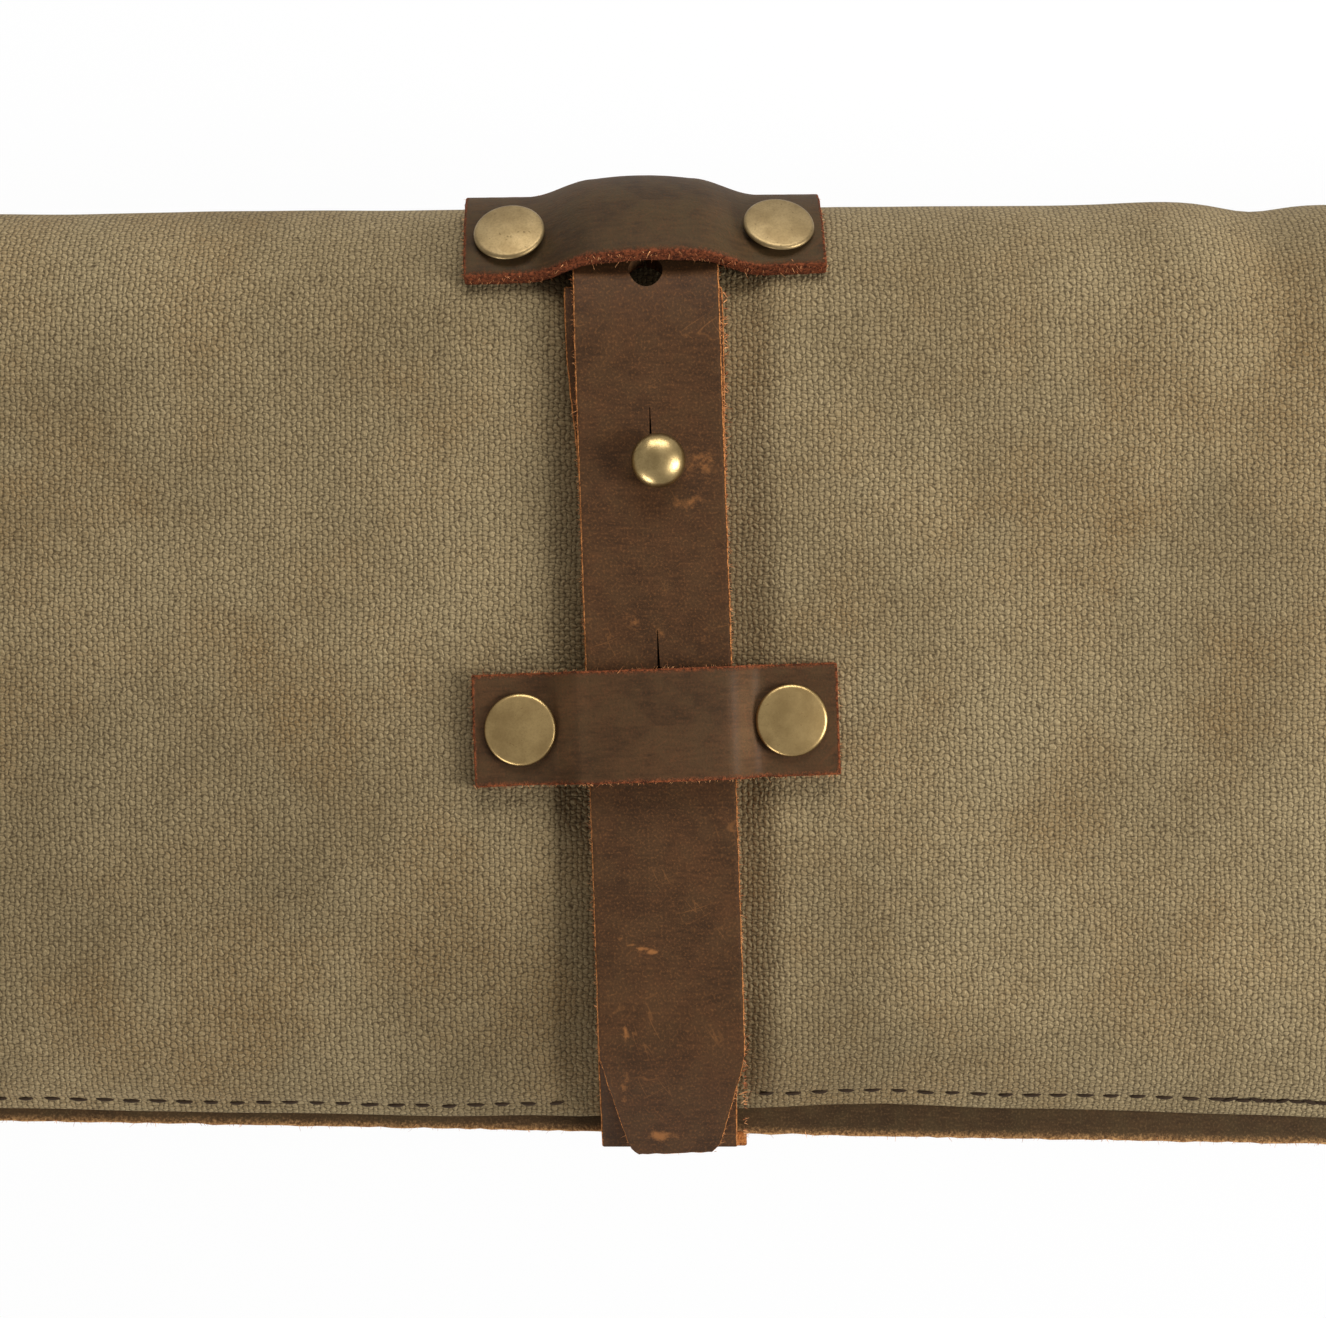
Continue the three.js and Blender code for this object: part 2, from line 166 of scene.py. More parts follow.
def finish_with(piece, kind, **settings):
    """Adds a modifier, sets it and applies it."""
    pick(piece)
    modifier = piece.modifiers.new(kind.title(), kind)
    for key, value in settings.items():
        setattr(modifier, key, value)
    bpy.ops.object.modifier_apply(modifier=modifier.name)


def bevel(piece, width, segments):
    """Rounds the sharp edges that a cut leaves."""
    sharp = math.radians(60)
    finish_with(
        piece, "BEVEL", width=width, segments=segments, limit_method="ANGLE", angle_limit=sharp
    )


def points_of(piece):
    flat = np.empty(len(piece.data.vertices) * 3)
    piece.data.vertices.foreach_get("co", flat)
    return flat.reshape(-1, 3)


def set_points(piece, points):
    piece.data.vertices.foreach_set("co", np.ascontiguousarray(points).ravel())
    piece.data.update()


def keep_pattern(piece):
    """Stores the flat pattern's own measures, in metres, as the piece's UV map."""
    layer = piece.data.uv_layers.active or piece.data.uv_layers.new(name="Pattern")
    corners = np.empty(len(piece.data.loops), int)
    piece.data.loops.foreach_get("vertex_index", corners)
    layer.data.foreach_set("uv", points_of(piece)[corners, :2].ravel())


def mark(piece, name, level):
    """Stores one number for each point of a piece."""
    marks = piece.data.attributes.new(name, "FLOAT", "POINT")
    marks.data.foreach_set("value", level.astype(np.float32))


def mark_spots(piece, name, spots):
    """Marks soft spots on a flat piece: middle and half sizes in millimetres, and strength."""
    flat = points_of(piece) / mm
    level = np.zeros(len(flat))
    for x, along, half_x, half_along, strength in spots:
        spot = bump(flat[:, 0], x, half_x) * bump(flat[:, 1], along, half_along)
        level = np.maximum(level, strength * spot)
    mark(piece, name, level)


def wrap(piece, lean=None):
    """Lays a flat piece on the roll: x along the roll, y round the girth, z outwards."""
    flat = points_of(piece)
    shift = lean(flat[:, 1]) if lean else 0
    set_points(piece, on_roll(flat[:, 0] + shift, flat[:, 1], flat[:, 2]))


def smooth(piece, degrees=35):
    pick(piece)
    bpy.ops.object.shade_smooth_by_angle(angle=math.radians(degrees))


def cut_grid(name, x_range, along_range, step):
    """A flat rectangle of cloth or leather, squared off in cells of about one step."""
    width = x_range[1] - x_range[0]
    length = along_range[1] - along_range[0]
    piece = added(
        name,
        bpy.ops.mesh.primitive_grid_add,
        x_subdivisions=max(2, round(width / step[0])),
        y_subdivisions=max(2, round(length / step[1])),
        size=1,
    )
    piece.scale = (width, length, 1)
    piece.location = (sum(x_range) / 2, sum(along_range) / 2, 0)
    bpy.ops.object.transform_apply(location=True, rotation=False, scale=True)
    return piece


# %% [markdown]
# ## Writing shader maths as plain expressions
# A weave or a scuff is a formula. Wiring a formula by hand takes dozens of Math nodes, so one
# class wraps a socket and lets Python's own operators add them. Everything else, such as a
# noise or a colour ramp, comes from a single `node` method.

# %% Sockets that can be added and multiplied


class Value:
    """One output socket, on which Python's operators add Math nodes."""

    def __init__(self, sketch, socket):
        self.sketch = sketch
        self.socket = socket

    def math(self, operation, *others):
        made = self.sketch.tree.nodes.new("ShaderNodeMath")
        made.operation = operation
        for socket, value in zip(made.inputs, (self, *others)):
            self.sketch.join(value, socket)
        return Value(self.sketch, made.outputs[0])

    def __add__(self, other):
        return self.math("ADD", other)

    __radd__ = __add__

    def __mul__(self, other):
        return self.math("MULTIPLY", other)

    __rmul__ = __mul__

    def __sub__(self, other):
        return self.math("SUBTRACT", other)

    def __rsub__(self, other):
        return self * -1 + other

    def __truediv__(self, other):
        return self.math("DIVIDE", other)

    def __abs__(self):
        return self.math("ABSOLUTE")

    def highest(self, other):
        return self.math("MAXIMUM", other)

    def step(self, low, high):
        """A smooth step from 0 to 1 between two values."""
        return self.sketch.node(
            "ShaderNodeMapRange",
            {"interpolation_type": "SMOOTHSTEP"},
            {"Value": self, "From Min": low, "From Max": high},
        )


class Sketch:
    """A node tree whose nodes are written as expressions."""

    def __init__(self, tree):
        self.tree = tree

    def join(self, value, socket):
        if isinstance(value, Value):
            self.tree.links.new(value.socket, socket)
        elif isinstance(value, tuple) and len(value) == 3 and socket.type == "RGBA":
            socket.default_value = (*value, 1)
        else:
            socket.default_value = value

    def node(self, kind, settings=None, inputs=None, output=0):
        made = self.tree.nodes.new(kind)
        for key, value in (settings or {}).items():
            setattr(made, key, value)
        for key, value in (inputs or {}).items():
            self.join(value, made.inputs[key])
        return Value(self, made.outputs[output])

    def place(self, output="Object"):
        return self.node("ShaderNodeTexCoord", output=output)

    def split(self, vector, axis):
        return self.node("ShaderNodeSeparateXYZ", inputs={0: vector}, output=axis)

    def vector(self, x, y, z=0.0):
        return self.node("ShaderNodeCombineXYZ", inputs={0: x, 1: y, 2: z})

    def noise(self, where, scale, detail=2.0, roughness=0.5):
        return self.node(
            "ShaderNodeTexNoise",
            inputs={"Vector": where, "Scale": scale, "Detail": detail, "Roughness": roughness},
        )

    def mix(self, share, first, second, blend="MIX"):
        return self.node(
            "ShaderNodeMix",
            {"data_type": "RGBA", "blend_type": blend},
            {0: share, 6: first, 7: second},
            output=2,
        )

    def ray(self, kind):
        return self.node("ShaderNodeLightPath", output=f"Is {kind} Ray")

    def attribute(self, name):
        return self.node("ShaderNodeAttribute", {"attribute_name": name}, output=2)


class Finish(Sketch):
    """A material with one Principled shader."""

    def __init__(self, name, **constant):
        self.material = bpy.data.materials.new(name)
        self.material.use_nodes = True
        super().__init__(self.material.node_tree)
        self.shader = self.tree.nodes["Principled BSDF"]
        for key, value in constant.items():
            self.shader.inputs[key.replace("_", " ")].default_value = value

    def set(self, **sockets):
        for key, value in sockets.items():
            self.join(value, self.shader.inputs[key.replace("_", " ")])

    def emboss(self, height, depth):
        normal = self.node(
            "ShaderNodeBump", inputs={"Strength": 1.0, "Distance": depth, "Height": height}
        )
        self.join(normal, self.shader.inputs["Normal"])


def srgb(red, green, blue):
    """A colour as a picture editor shows it, 0 to 255, turned into Blender's linear values."""

    def linear(level):
        level /= 255
        return level / 12.92 if level <= 0.04045 else ((level + 0.055) / 1.055) ** 2.4

    return linear(red), linear(green), linear(blue)


def tinted(colour, red, green, blue):
    """A colour with each of its three levels multiplied."""
    return colour[0] * red, colour[1] * green, colour[2] * blue


# %% [markdown]
# ## Waxed canvas
# The cloth is a heavy plain weave: each thread goes over one and under the next. With a and b
# counting threads both ways, `sin(pi a)` changes its sign from one thread to the next, so its
# sign says which thread is on top. The higher of the two threads is what we see, and the gaps
# between them are painted dark as shade. Noise pushes the threads about, each bead of thread
# has a height and a tone of its own, and wax leaves cloudy patches. A number on the points
# darkens the cloth: beside the belt it is partly painted shade and partly stain from leather
# oil, and in soft patches it is painted shade over a hollow and a fold, and darker tone elsewhere.

# %% The canvas finish


def weave_finish(name, light, dark, pitch, uneven=1.0):
    """Plain-woven cloth in two tones, with its thread pitch along and round the roll."""
    cloth = Finish(name, Specular_IOR_Level=0.2)
    flat = cloth.place("UV")
    x = cloth.split(flat, 0)
    along = cloth.split(flat, 1)
    sway = cloth.noise(flat, 55, 2.0) - 0.5
    slub = cloth.noise(flat, 430, 2.0) - 0.5
    drift = cloth.noise(cloth.vector(along, x, 0.7), 510, 2.0) - 0.5
    jitter = cloth.noise(cloth.vector(along, x, 2.3), 1150, 1.0) - 0.5
    a = (x + sway * 1.6 * mm + (slub * 1.3 + jitter * 0.7) * mm * uneven) / pitch[0]
    b = (along - sway * 1.3 * mm + (drift * 1.3 - jitter * 0.7) * mm * uneven) / pitch[1]
    sin_a = (a * math.pi).math("SINE")
    sin_b = (b * math.pi).math("SINE")
    cell = cloth.vector(a.math("FLOOR"), b.math("FLOOR"))
    bead = cloth.node("ShaderNodeTexWhiteNoise", inputs={"Vector": cell})
    warp = abs(sin_a) * (0.47 + sin_a.math("SIGN") * sin_b * 0.67)
    weft = abs(sin_b) * (0.21 - sin_b.math("SIGN") * sin_a * 0.16)
    height = warp.highest(weft) * (0.88 + bead * 0.24)
    cloud = cloth.noise(flat, 24, 4.0, 0.62)
    fleck = cloth.noise(flat, 1700, 2.0)
    fuzz = cloth.noise(flat, 3300, 1.0) - 0.5
    shade = bead * 0.1 + cloud.step(0.3, 0.7) * 0.46 + fleck.step(0.35, 0.68) * 0.36 + fuzz * 1.2
    hue = cloth.noise(cloth.vector(x, along, 3.1), 33, 3.0, 0.6)
    rust = tinted(dark, 1.1, 0.92, 0.72)
    thread_colour = cloth.mix(shade, cloth.mix(hue.step(0.42, 0.66) * 0.75, dark, rust), light)
    # The gaps between threads get a dark colour: painted shade.
    hollow = tinted(dark, 0.3, 0.27, 0.24)
    colour = cloth.mix(height.step(0.0, 0.44), hollow, thread_colour)
    # Painted shade beside the belt and over a hollow and a fold, with stain from leather oil,
    # darkens the colour.
    soil = cloth.attribute("soil")
    cloth.set(
        Base_Color=cloth.mix(soil, colour, (0.5, 0.47, 0.42), "MULTIPLY"),
        Roughness=0.95 - cloud * 0.14,
    )
    cloth.emboss(height + fleck * 0.25, 0.17 * mm)
    return cloth.material


canvas_cloth = weave_finish(
    "waxed_canvas", srgb(161, 143, 107), srgb(119, 102, 72), (0.96 * mm, 0.77 * mm)
)
lining_cloth = weave_finish(
    "lining_cloth", srgb(150, 134, 102), srgb(104, 90, 66), (0.6 * mm, 0.55 * mm), 0.4
)
print("woven finishes made")

# %% [markdown]
# ## Oiled leather with raw edges
# The grain side is dark and slightly waxy, clouded by handling and scratched here and there.
# Where the leather is cut, its pale fibres show and fray. Each leather piece carries a number
# on its points, `raw`, that is 0 on the grain side and 1 on the cut edge, and the finish
# changes over from one to the other.

# %% The leather finish


def scratches(hide, flat, turn, fineness):
    """Thin lines: places where a stretched noise passes through its middle value."""
    x, along = hide.split(flat, 0), hide.split(flat, 1)
    across = x * math.cos(turn) + along * math.sin(turn)
    down = along * math.cos(turn) - x * math.sin(turn)
    field = hide.noise(hide.vector(across * fineness, down * fineness * 0.16, turn), 1.0, 1.0)
    line = 1 - abs(field - 0.5).step(0.003, 0.012)
    return line * hide.noise(flat, 95, 2.0).step(0.54, 0.68)


def leather_finish(name, scratched, *tones):
    """Leather in four tones: grain light and dark, then cut edge light and dark."""
    grain_light, grain_dark, edge_light, edge_dark = (srgb(*tone) for tone in tones)
    hide = Finish(name, Specular_IOR_Level=0.1, Coat_Roughness=0.75)
    flat = hide.place("UV")
    solid = hide.place()
    cloud = hide.noise(flat, 60, 4.0, 0.62)
    rub = hide.noise(flat, 420, 4.0, 0.7)
    pore = hide.noise(flat, 2300, 2.0, 0.6)
    drawn = hide.vector(hide.split(flat, 0) * 0.15, hide.split(flat, 1))
    streak = hide.noise(drawn, 1500, 2.0)
    fibre = hide.noise(solid, 1700, 4.0, 0.7)
    raw = hide.attribute("raw")
    worn = hide.attribute("worn")
    shine = hide.attribute("shine")
    tone = cloud * 0.45 + rub * 0.25 + streak * 0.3
    base = hide.mix(tone.step(0.36, 0.64), grain_dark, grain_light)
    orange = tuple(0.62 * a + 0.38 * b for a, b in zip(grain_light, edge_light))
    olive = tinted(grain_light, 0.88, 1.0, 1.02)
    pit = tinted(grain_dark, 0.65, 0.65, 0.65)
    base = hide.mix(hide.noise(flat, 190, 3.0).step(0.42, 0.64) * 0.6, base, olive)
    base = hide.mix(pore.step(0.5, 0.72) * 0.26, base, orange)
    base = hide.mix((1 - pore.step(0.3, 0.46)) * 0.3, base, pit)
    line = scratches(hide, flat, 0.5, 330).highest(scratches(hide, flat, -1.1, 270))
    # Painted sheen at the keepers' bends, in part the pull-up of bent leather: the colour is
    # lightened there.
    base = hide.mix(shine * 0.7, base, (2.1, 2.1, 2.1), "MULTIPLY")
    rubbed = (worn + (rub - 0.5) * 1.3).step(0.36, 0.78)
    base = hide.mix((rubbed * 0.85).highest(line * scratched), base, orange)
    frayed = hide.mix(fibre.step(0.34, 0.66), edge_dark, edge_light)
    ragged = (raw + (fibre - 0.5) * 0.6).step(0.25, 0.75)
    hide.set(
        Base_Color=hide.mix(ragged, base, frayed),
        Roughness=0.6 + (pore - 0.5) * 0.2 - shine * 0.1 + ragged * 0.3,
        Coat_Weight=shine * 0.16,
    )
    hide.emboss(pore * 0.5 + rub * 0.35 + streak * 0.25 + fibre * ragged * 2.6, 0.11 * mm)
    return hide.material


belt_hide = leather_finish(
    "oiled_belt_leather", 0.3, (80, 53, 32), (56, 38, 23), (206, 136, 76), (104, 60, 32)
)
lower_hide = leather_finish(
    "oiled_keeper_leather", 0.2, (79, 55, 34), (55, 39, 24), (138, 76, 44), (62, 32, 19)
)
# The upper keeper gets a darker copy of the keeper leather: painted shade on the keeper that sits
# on the round top edge.
shaded_upper_hide = leather_finish(
    "oiled_upper_keeper", 0.2, (72, 53, 31), (50, 37, 22), (124, 67, 40), (55, 29, 18)
)
keeper_hides = {"upper": shaded_upper_hide, "lower": lower_hide}
divider_hide = leather_finish(
    "divider_leather", 0.0, (80, 60, 38), (62, 46, 29), (196, 150, 98), (120, 80, 48)
)
print("leather finishes made")

# %% [markdown]
# ## Antique brass
# Caps and stud are brass that was darkened and then rubbed bright. A fine cloud of tarnish
# changes both colour and gloss, and small dark specks sit where the rubbing missed.

# %% The brass finish


def brass_finish(name, dull, bright, roughness):
    brass = Finish(name, Metallic=1.0)
    place = brass.place()
    tarnish = brass.noise(place, 240, 4.0, 0.6)
    grit = brass.noise(place, 2600, 3.0, 0.6)
    speck = brass.noise(place, 1500, 2.0).step(0.66, 0.74)
    pitted = tinted(dull, 0.45, 0.45, 0.45)
    rubbed = brass.mix(tarnish.step(0.3, 0.72), dull, bright)
    rubbed = brass.mix(grit.step(0.4, 0.7) * 0.25, rubbed, pitted)
    brass.set(
        Base_Color=brass.mix(speck * 0.6, rubbed, pitted),
        Roughness=roughness + (grit - 0.5) * 0.2 - tarnish * 0.08 + speck * 0.2,
    )
    brass.emboss(grit + tarnish * 2, 0.01 * mm)
    return brass.material


antique_brass = brass_finish("antique_brass", srgb(154, 128, 84), srgb(182, 154, 104), 0.4)
# The upper caps get a darker, rougher copy of the same brass: the darker colour is painted shade.
shaded_upper_brass = brass_finish("dull_antique_brass", srgb(130, 110, 76), srgb(154, 133, 95), 0.5)
cap_brass = {"upper": shaded_upper_brass, "lower": antique_brass}
stud_brass = brass_finish("worn_stud_brass", srgb(140, 119, 79), srgb(181, 156, 108), 0.37)

thread = Finish("waxed_thread", Roughness=0.85, Specular_IOR_Level=0.15)
twist = thread.noise(thread.place(), 3200, 1.0)
thread.set(Base_Color=thread.mix(twist, srgb(38, 28, 19), srgb(62, 47, 33)))

fluff = Finish("leather_fibre", Roughness=0.9)
fluff_tone = fluff.noise(fluff.place(), 500, 1.0).step(0.35, 0.65)
fluff.set(Base_Color=fluff.mix(fluff_tone, srgb(150, 84, 44), srgb(222, 158, 100)))
print("metal, thread and fibre finishes made")


def dress(piece, material):
    """Gives a piece its finish."""
    piece.data.materials.clear()
    piece.data.materials.append(material)
    return piece


# %% [markdown]
# ## The canvas wrap
# The wrap is one cloth, folded at the spine. Here it is cut in two where nobody looks, low on
# the spine. Both are flat grids with a thickness, wrapped by the formula. The cloth sinks under
# the belt and swells a little beside it, and slow noise keeps it from looking machined.

# %% Where the cloth ends
canvas_wall = 2.2 * mm
belt_width = 25.4 * mm
belt_tilt = math.radians(2)
seat_inner = 16 * mm
seat_outer = 20 * mm
back_waist = core_height - edge_radius
back_waist_outer = 45 * mm
hem_angle = math.radians(55)
hem_at = flat_half + edge_radius * hem_angle
spine_seam = spine_at + edge_radius * 0.55
divider_low, divider_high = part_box("divider_page")
divider_slope = (divider_high.z - divider_low.z - leather_wall) / (divider_high.y - divider_low.y)
back_hem_drop = divider_slope * (divider_high.y + flat_half) - leather_wall / 2 - gap
slope_length = edge_radius * math.hypot(1, divider_slope)
back_hem_angle = math.acos(back_hem_drop / slope_length) - math.atan(divider_slope)
back_hem_at = flat_half + edge_radius * back_hem_angle
cloth_step = (2.6 * mm, 2.2 * mm)
fold_below = 3 * mm
fold_above = 4.5 * mm
hem_roll = 7 * mm
hem_round = 0.8 * mm


def hem_line(x):
    """Where the hem is sewn: a little further from its edge to the right of the belt."""
    return -hem_at + np.interp(x, [-14 * mm, 16 * mm], [3.5 * mm, 4.6 * mm])


def cover_swell(x, along):
    """The cloth sinks under the belt, beside its tail, at the stitches and in one fold."""
    seat = rise(np.abs(x), seat_inner, seat_outer)
    swell = seat_swell * np.maximum(seat, rise(-along, hem_at - hem_roll, hem_at))
    hollow = 1.3 * mm * bump(x, -26 * mm, 15 * mm) * bump(along, -62 * mm, 17 * mm)
    off_stitches = along - hem_line(x)
    pinch = 0.45 * mm * bump(off_stitches, 0, 0.9 * mm)
    bulge = 0.35 * mm * bump(off_stitches, 3.6 * mm, 2.6 * mm)
    ridge = 0.5 * mm * bump(x, 93 * mm, 9 * mm)
    notch = 1.35 * mm * bump(x, 108 * mm, 7 * mm)
    fold = (ridge - notch) * rise(along, 35 * mm, 78 * mm)
    return swell + fold - hollow - (pinch - bulge) * seat


def back_swell(x, along):
    """The cloth swells beside the belt at the spine and dips under it on the back."""
    turn = short_way(along)
    angle = np.clip((np.abs(turn) - flat_half) / edge_radius, 0, np.pi)
    under = np.clip(-np.cos(angle), 0, 1)
    beside = np.where(turn > 0, seat_swell * rise(np.abs(x), seat_inner, seat_outer), 0)
    bed = back_waist * rise(np.abs(x), seat_outer - 3 * mm, back_waist_outer)
    return beside * (1 - under) + bed * under


# %% [markdown]
# A sewn hem is never straight. These few places, read off the photograph, say how far it
# stands out or in along the roll, and the cloth above it follows less and less. The rows of
# the grid lie closer at the hem, where the stitches pull a narrow groove into the cloth, and
# at the spine, where the cloth folds when the roll opens.

# %% Cut and wrap the canvas
hem_places = np.array([-120, -45, -14, 16, 40, 70, 120]) * mm
hem_shifts = np.array([-0.4, 1.0, 1.4, -0.3, -1.1, -0.3, 1.5]) * mm
hem_follow = 24 * mm
spine_skew = 0.007
cover_slack = 0.5 * mm
slack_from = seat_outer + 14 * mm


def slack(x, along, size):
    """Slow waves of the cloth, one height for each point."""
    waves = [
        noise.noise(Vector((a / (46 * mm), b / (38 * mm), 0.3)))
        + 0.5 * noise.noise(Vector((a / (17 * mm), b / (21 * mm), 4.1)))
        for a, b in zip(x, along)
    ]
    return size * np.array(waves)


def off_true(x, along):
    """How far the hem and the spine stand out or in along the roll."""
    hem = np.interp(x, hem_places, hem_shifts) * rise(-along, hem_at - hem_follow, hem_at)
    spine = spine_skew * x * rise(along, 20 * mm, 75 * mm) * (1 - rise(along, 110 * mm, 150 * mm))
    return spine - hem


def lay_cloth(piece, slackness):
    """Wraps cloth, or the stitches in it, with its slack and its uneven hem and spine."""
    flat = points_of(piece)
    x, along = flat[:, 0], flat[:, 1]
    free = rise(np.abs(x), seat_outer, slack_from)
    placed = on_roll(x, along, flat[:, 2] + slack(x, along, slackness) * free)
    placed[:, 1] += off_true(x, along)
    set_points(piece, placed)


def cut_canvas(name, along_range, swell, slackness, rows, soil):
    """A length of cloth, wrapped at its own height, then given its thickness inwards."""
    piece = cut_grid(name, (-roll_length / 2, roll_length / 2), along_range, cloth_step)
    flat = points_of(piece)
    low, high = along_range
    row_shares, row_places = zip(*rows)
    flat[:, 1] = np.interp((flat[:, 1] - low) / (high - low), row_shares, row_places)
    flat[:, 2] = swell(flat[:, 0], flat[:, 1])
    set_points(piece, flat)
    keep_pattern(piece)
    mark_spots(piece, "soil", soil)
    lay_cloth(piece, slackness)
    finish_with(piece, "SOLIDIFY", thickness=canvas_wall, offset=-1.0)
    bevel(piece, hem_round, 3)
    smooth(piece, 60)
    return dress(piece, canvas_cloth)


# Darker strips on both sides of the belt: partly painted shade, partly stain from its leather oil.
shade_and_stain_beside_belt = [
    (side * 14.5 - math.tan(belt_tilt) * along, along, 4.5, 14, 0.5 + 0.08 * side)
    for side in (-1, 1)
    for along in range(-72, 80, 12)
]
# Soft dark patches: the first lies over the hollow and the one at 107 mm over the fold, and these
# are painted shade; the others only darken the cloth.
dark_patches = [
    (-30, -58, 20, 24, 0.55),
    (-82, -36, 45, 26, 0.24),
    (32, -50, 12, 25, 0.25),
    (-106, -18, 20, 24, 0.28),
    (-55, 28, 18, 12, 0.14),
    (107, 16, 11, 38, 0.26),
    (92, 60, 14, 12, 0.22),
    (52, -15, 14, 12, 0.1),
]
cover_range = (-hem_at, spine_seam)
cover_rows = [
    (0, -hem_at),
    (0.13, -hem_at + 11 * mm),
    (0.84, spine_at - fold_above - 2 * mm),
    (0.95, spine_at + fold_below + 1 * mm),
    (1, spine_seam),
]
back_range = (spine_seam, girth - back_hem_at)
back_rows = list(zip((0, 1), back_range))
cover_canvas = cut_canvas(
    "cover_canvas", cover_range, cover_swell, cover_slack, cover_rows, shade_and_stain_beside_belt + dark_patches
)
back_canvas = cut_canvas("back_canvas", back_range, back_swell, 0.0, back_rows, [])
for piece in (cover_canvas, back_canvas):
    print(piece.name, len(piece.data.polygons), "faces")

# %% [markdown]
# ## The lining
# Each half has a thin lining. It is only seen when the roll is open, or from its ends.

# %% Cut and wrap the linings
lining_wall = 1.5 * mm
lining_end = roll_length / 2 - 6 * mm
lining_reach = flat_half + edge_radius * 1.3
lining_hem = hem_at - 5.5 * mm
slots_half = 52 * mm


def cut_lining(name, along_range):
    piece = cut_grid(name, (-lining_end, lining_end), along_range, (8 * mm, 3 * mm))
    flat = points_of(piece)
    flat[:, 2] = -canvas_wall - gap
    set_points(piece, flat)
    keep_pattern(piece)
    wrap(piece)
    finish_with(piece, "SOLIDIFY", thickness=lining_wall, offset=-1.0)
    smooth(piece, 60)
    return dress(piece, lining_cloth)


cover_lining = cut_lining("cover_lining_cloth", (-lining_hem, lining_reach))
back_lining = cut_lining("back_lining_cloth", (girth / 2 - slots_half, girth / 2 + slots_half))
print("linings cut")

# %% [markdown]
# ## Cutting leather
# Every leather piece starts the same way: a flat rectangle, a thickness, a small bevel where
# the knife leaves a burr, and holes punched straight through. The edge is then made a little
# uneven, as a hand-cut edge is. `raw` is written while the piece is still flat, because then
# the grain side is simply everything at the top.

# %% Leather helpers
burr = 0.35 * mm


def hide_of(name, x_range, along_range, step, wall=leather_wall):
    """A flat slab of leather with its grain side up and its flesh side at height 0."""
    piece = cut_grid(name, x_range, along_range, step)
    finish_with(piece, "SOLIDIFY", thickness=wall, offset=1.0)
    return piece


def punch(piece, cutters):
    """Cuts each cutter out of the piece and throws the cutter away."""
    for cutter in cutters:
        finish_with(piece, "BOOLEAN", object=cutter, operation="DIFFERENCE", solver="EXACT")
        bpy.data.objects.remove(cutter)


def mark_raw(piece, wall=leather_wall, rim=0.0):
    """Writes 0 on the grain side, 1 on the cut edges, less on the flesh side and round the rim."""
    flat = points_of(piece)
    plan, heights = flat[:, :2], flat[:, 2]
    inset = np.minimum(plan - plan.min(axis=0), plan.max(axis=0) - plan).min(axis=1)
    level = np.where(inset < 2 * burr, rim, 0.0)
    level[heights < wall - 0.1 * burr] = 1.0
    level[heights < 0.1 * burr] = 0.38
    mark(piece, "raw", level)


def finish_edges(piece, rim=0.0, fray=0.16 * mm):
    """Marks the raw edges, moves them in and out a little and keeps the pattern."""
    mark_raw(piece, rim=rim)
    flat = points_of(piece)
    raw = np.empty(len(flat))
    piece.data.attributes["raw"].data.foreach_get("value", raw)
    push = np.array([noise.noise_vector(Vector(p) / (1.3 * mm)) for p in flat])
    flat[:, :2] += push[:, :2] * fray * raw[:, None]
    set_points(piece, flat)
    keep_pattern(piece)


# %% [markdown]
# ## The belt
# The belt leans two degrees, so its middle shifts sideways as it goes round. It lies on its
# own stud end over most of the front, and at the hem it passes round the divider's raw edge.
# Over both of those corners it is drawn taut: it runs straight, and where the straight run
# touches the round edge it lies down on the canvas. The radius of such a run is the radius of
# the edge divided by the cosine of the angle from where it touches.

# %% Where the belt runs
stud_at = 36.5 * mm
stud_end_at = 66 * mm
widening = 0.09
tail_seam = -14 * mm
taper_at = -64.5 * mm
tip_at = -81.9 * mm
tip_width = 15.5 * mm
tip_round = 2.2 * mm
tip_bite = 1.3 * mm
belt_base = edge_radius + gap
belt_room = 0.5 * mm
hem_press = 1.1 * mm
divider_length = divider_high.x - divider_low.x
divider_skew = 0.0175


def belt_lean(along):
    """How far the belt's middle stands aside: more and more to the edges, then back again."""
    turn = short_way(along)
    run = np.abs(turn)
    under = spine_at * (girth / 2 - run) / (girth / 2 - spine_at)
    return -np.sign(turn) * math.tan(belt_tilt) * np.where(run <= spine_at, run, under)


def divider_edge(x):
    return divider_low.y + divider_skew * (divider_length / 2 - x)


def divider_height(y):
    return core_height + divider_slope * (divider_high.y - y)


def taut_radius(angle, corner):
    """Radius of a strap that is drawn over a corner, given as its angle and radius."""
    corner_angle, corner_radius = corner
    lean = math.acos(belt_base / corner_radius) - np.abs(angle - corner_angle)
    return belt_base / np.cos(np.maximum(0, lean))


belt_at_hem = math.tan(belt_tilt) * hem_at
belt_edge = divider_edge(belt_at_hem + belt_width / 2)
corner_reach = belt_room - hem_press - belt_edge - flat_half
corner_rise = divider_height(belt_edge) + leather_wall / 2 + belt_room - core_height
hem_corner = (math.atan2(corner_reach, corner_rise), math.hypot(corner_reach, corner_rise))
hem_seam = flat_half + edge_radius * hem_corner[0] + leather_wall / 2
stud_corner = ((stud_end_at - flat_half) / edge_radius, belt_base + layer_pitch)


def stand_off(along):
    """Height of the belt's lower layer above the canvas."""
    angle = (-short_way(along) - flat_half) / edge_radius
    return taut_radius(angle, hem_corner) - edge_radius


def upper_layer(along):
    """Height of the tongue and the tail, on the stud end and past it down to the canvas."""
    past_end = taut_radius((along - flat_half) / edge_radius, stud_corner) - edge_radius
    return np.where(along <= stud_end_at, stand_off(along) + layer_pitch, past_end)


def belt_run(name, low, high, step):
    return hide_of(name, (-half_belt, half_belt), (low, high), step)


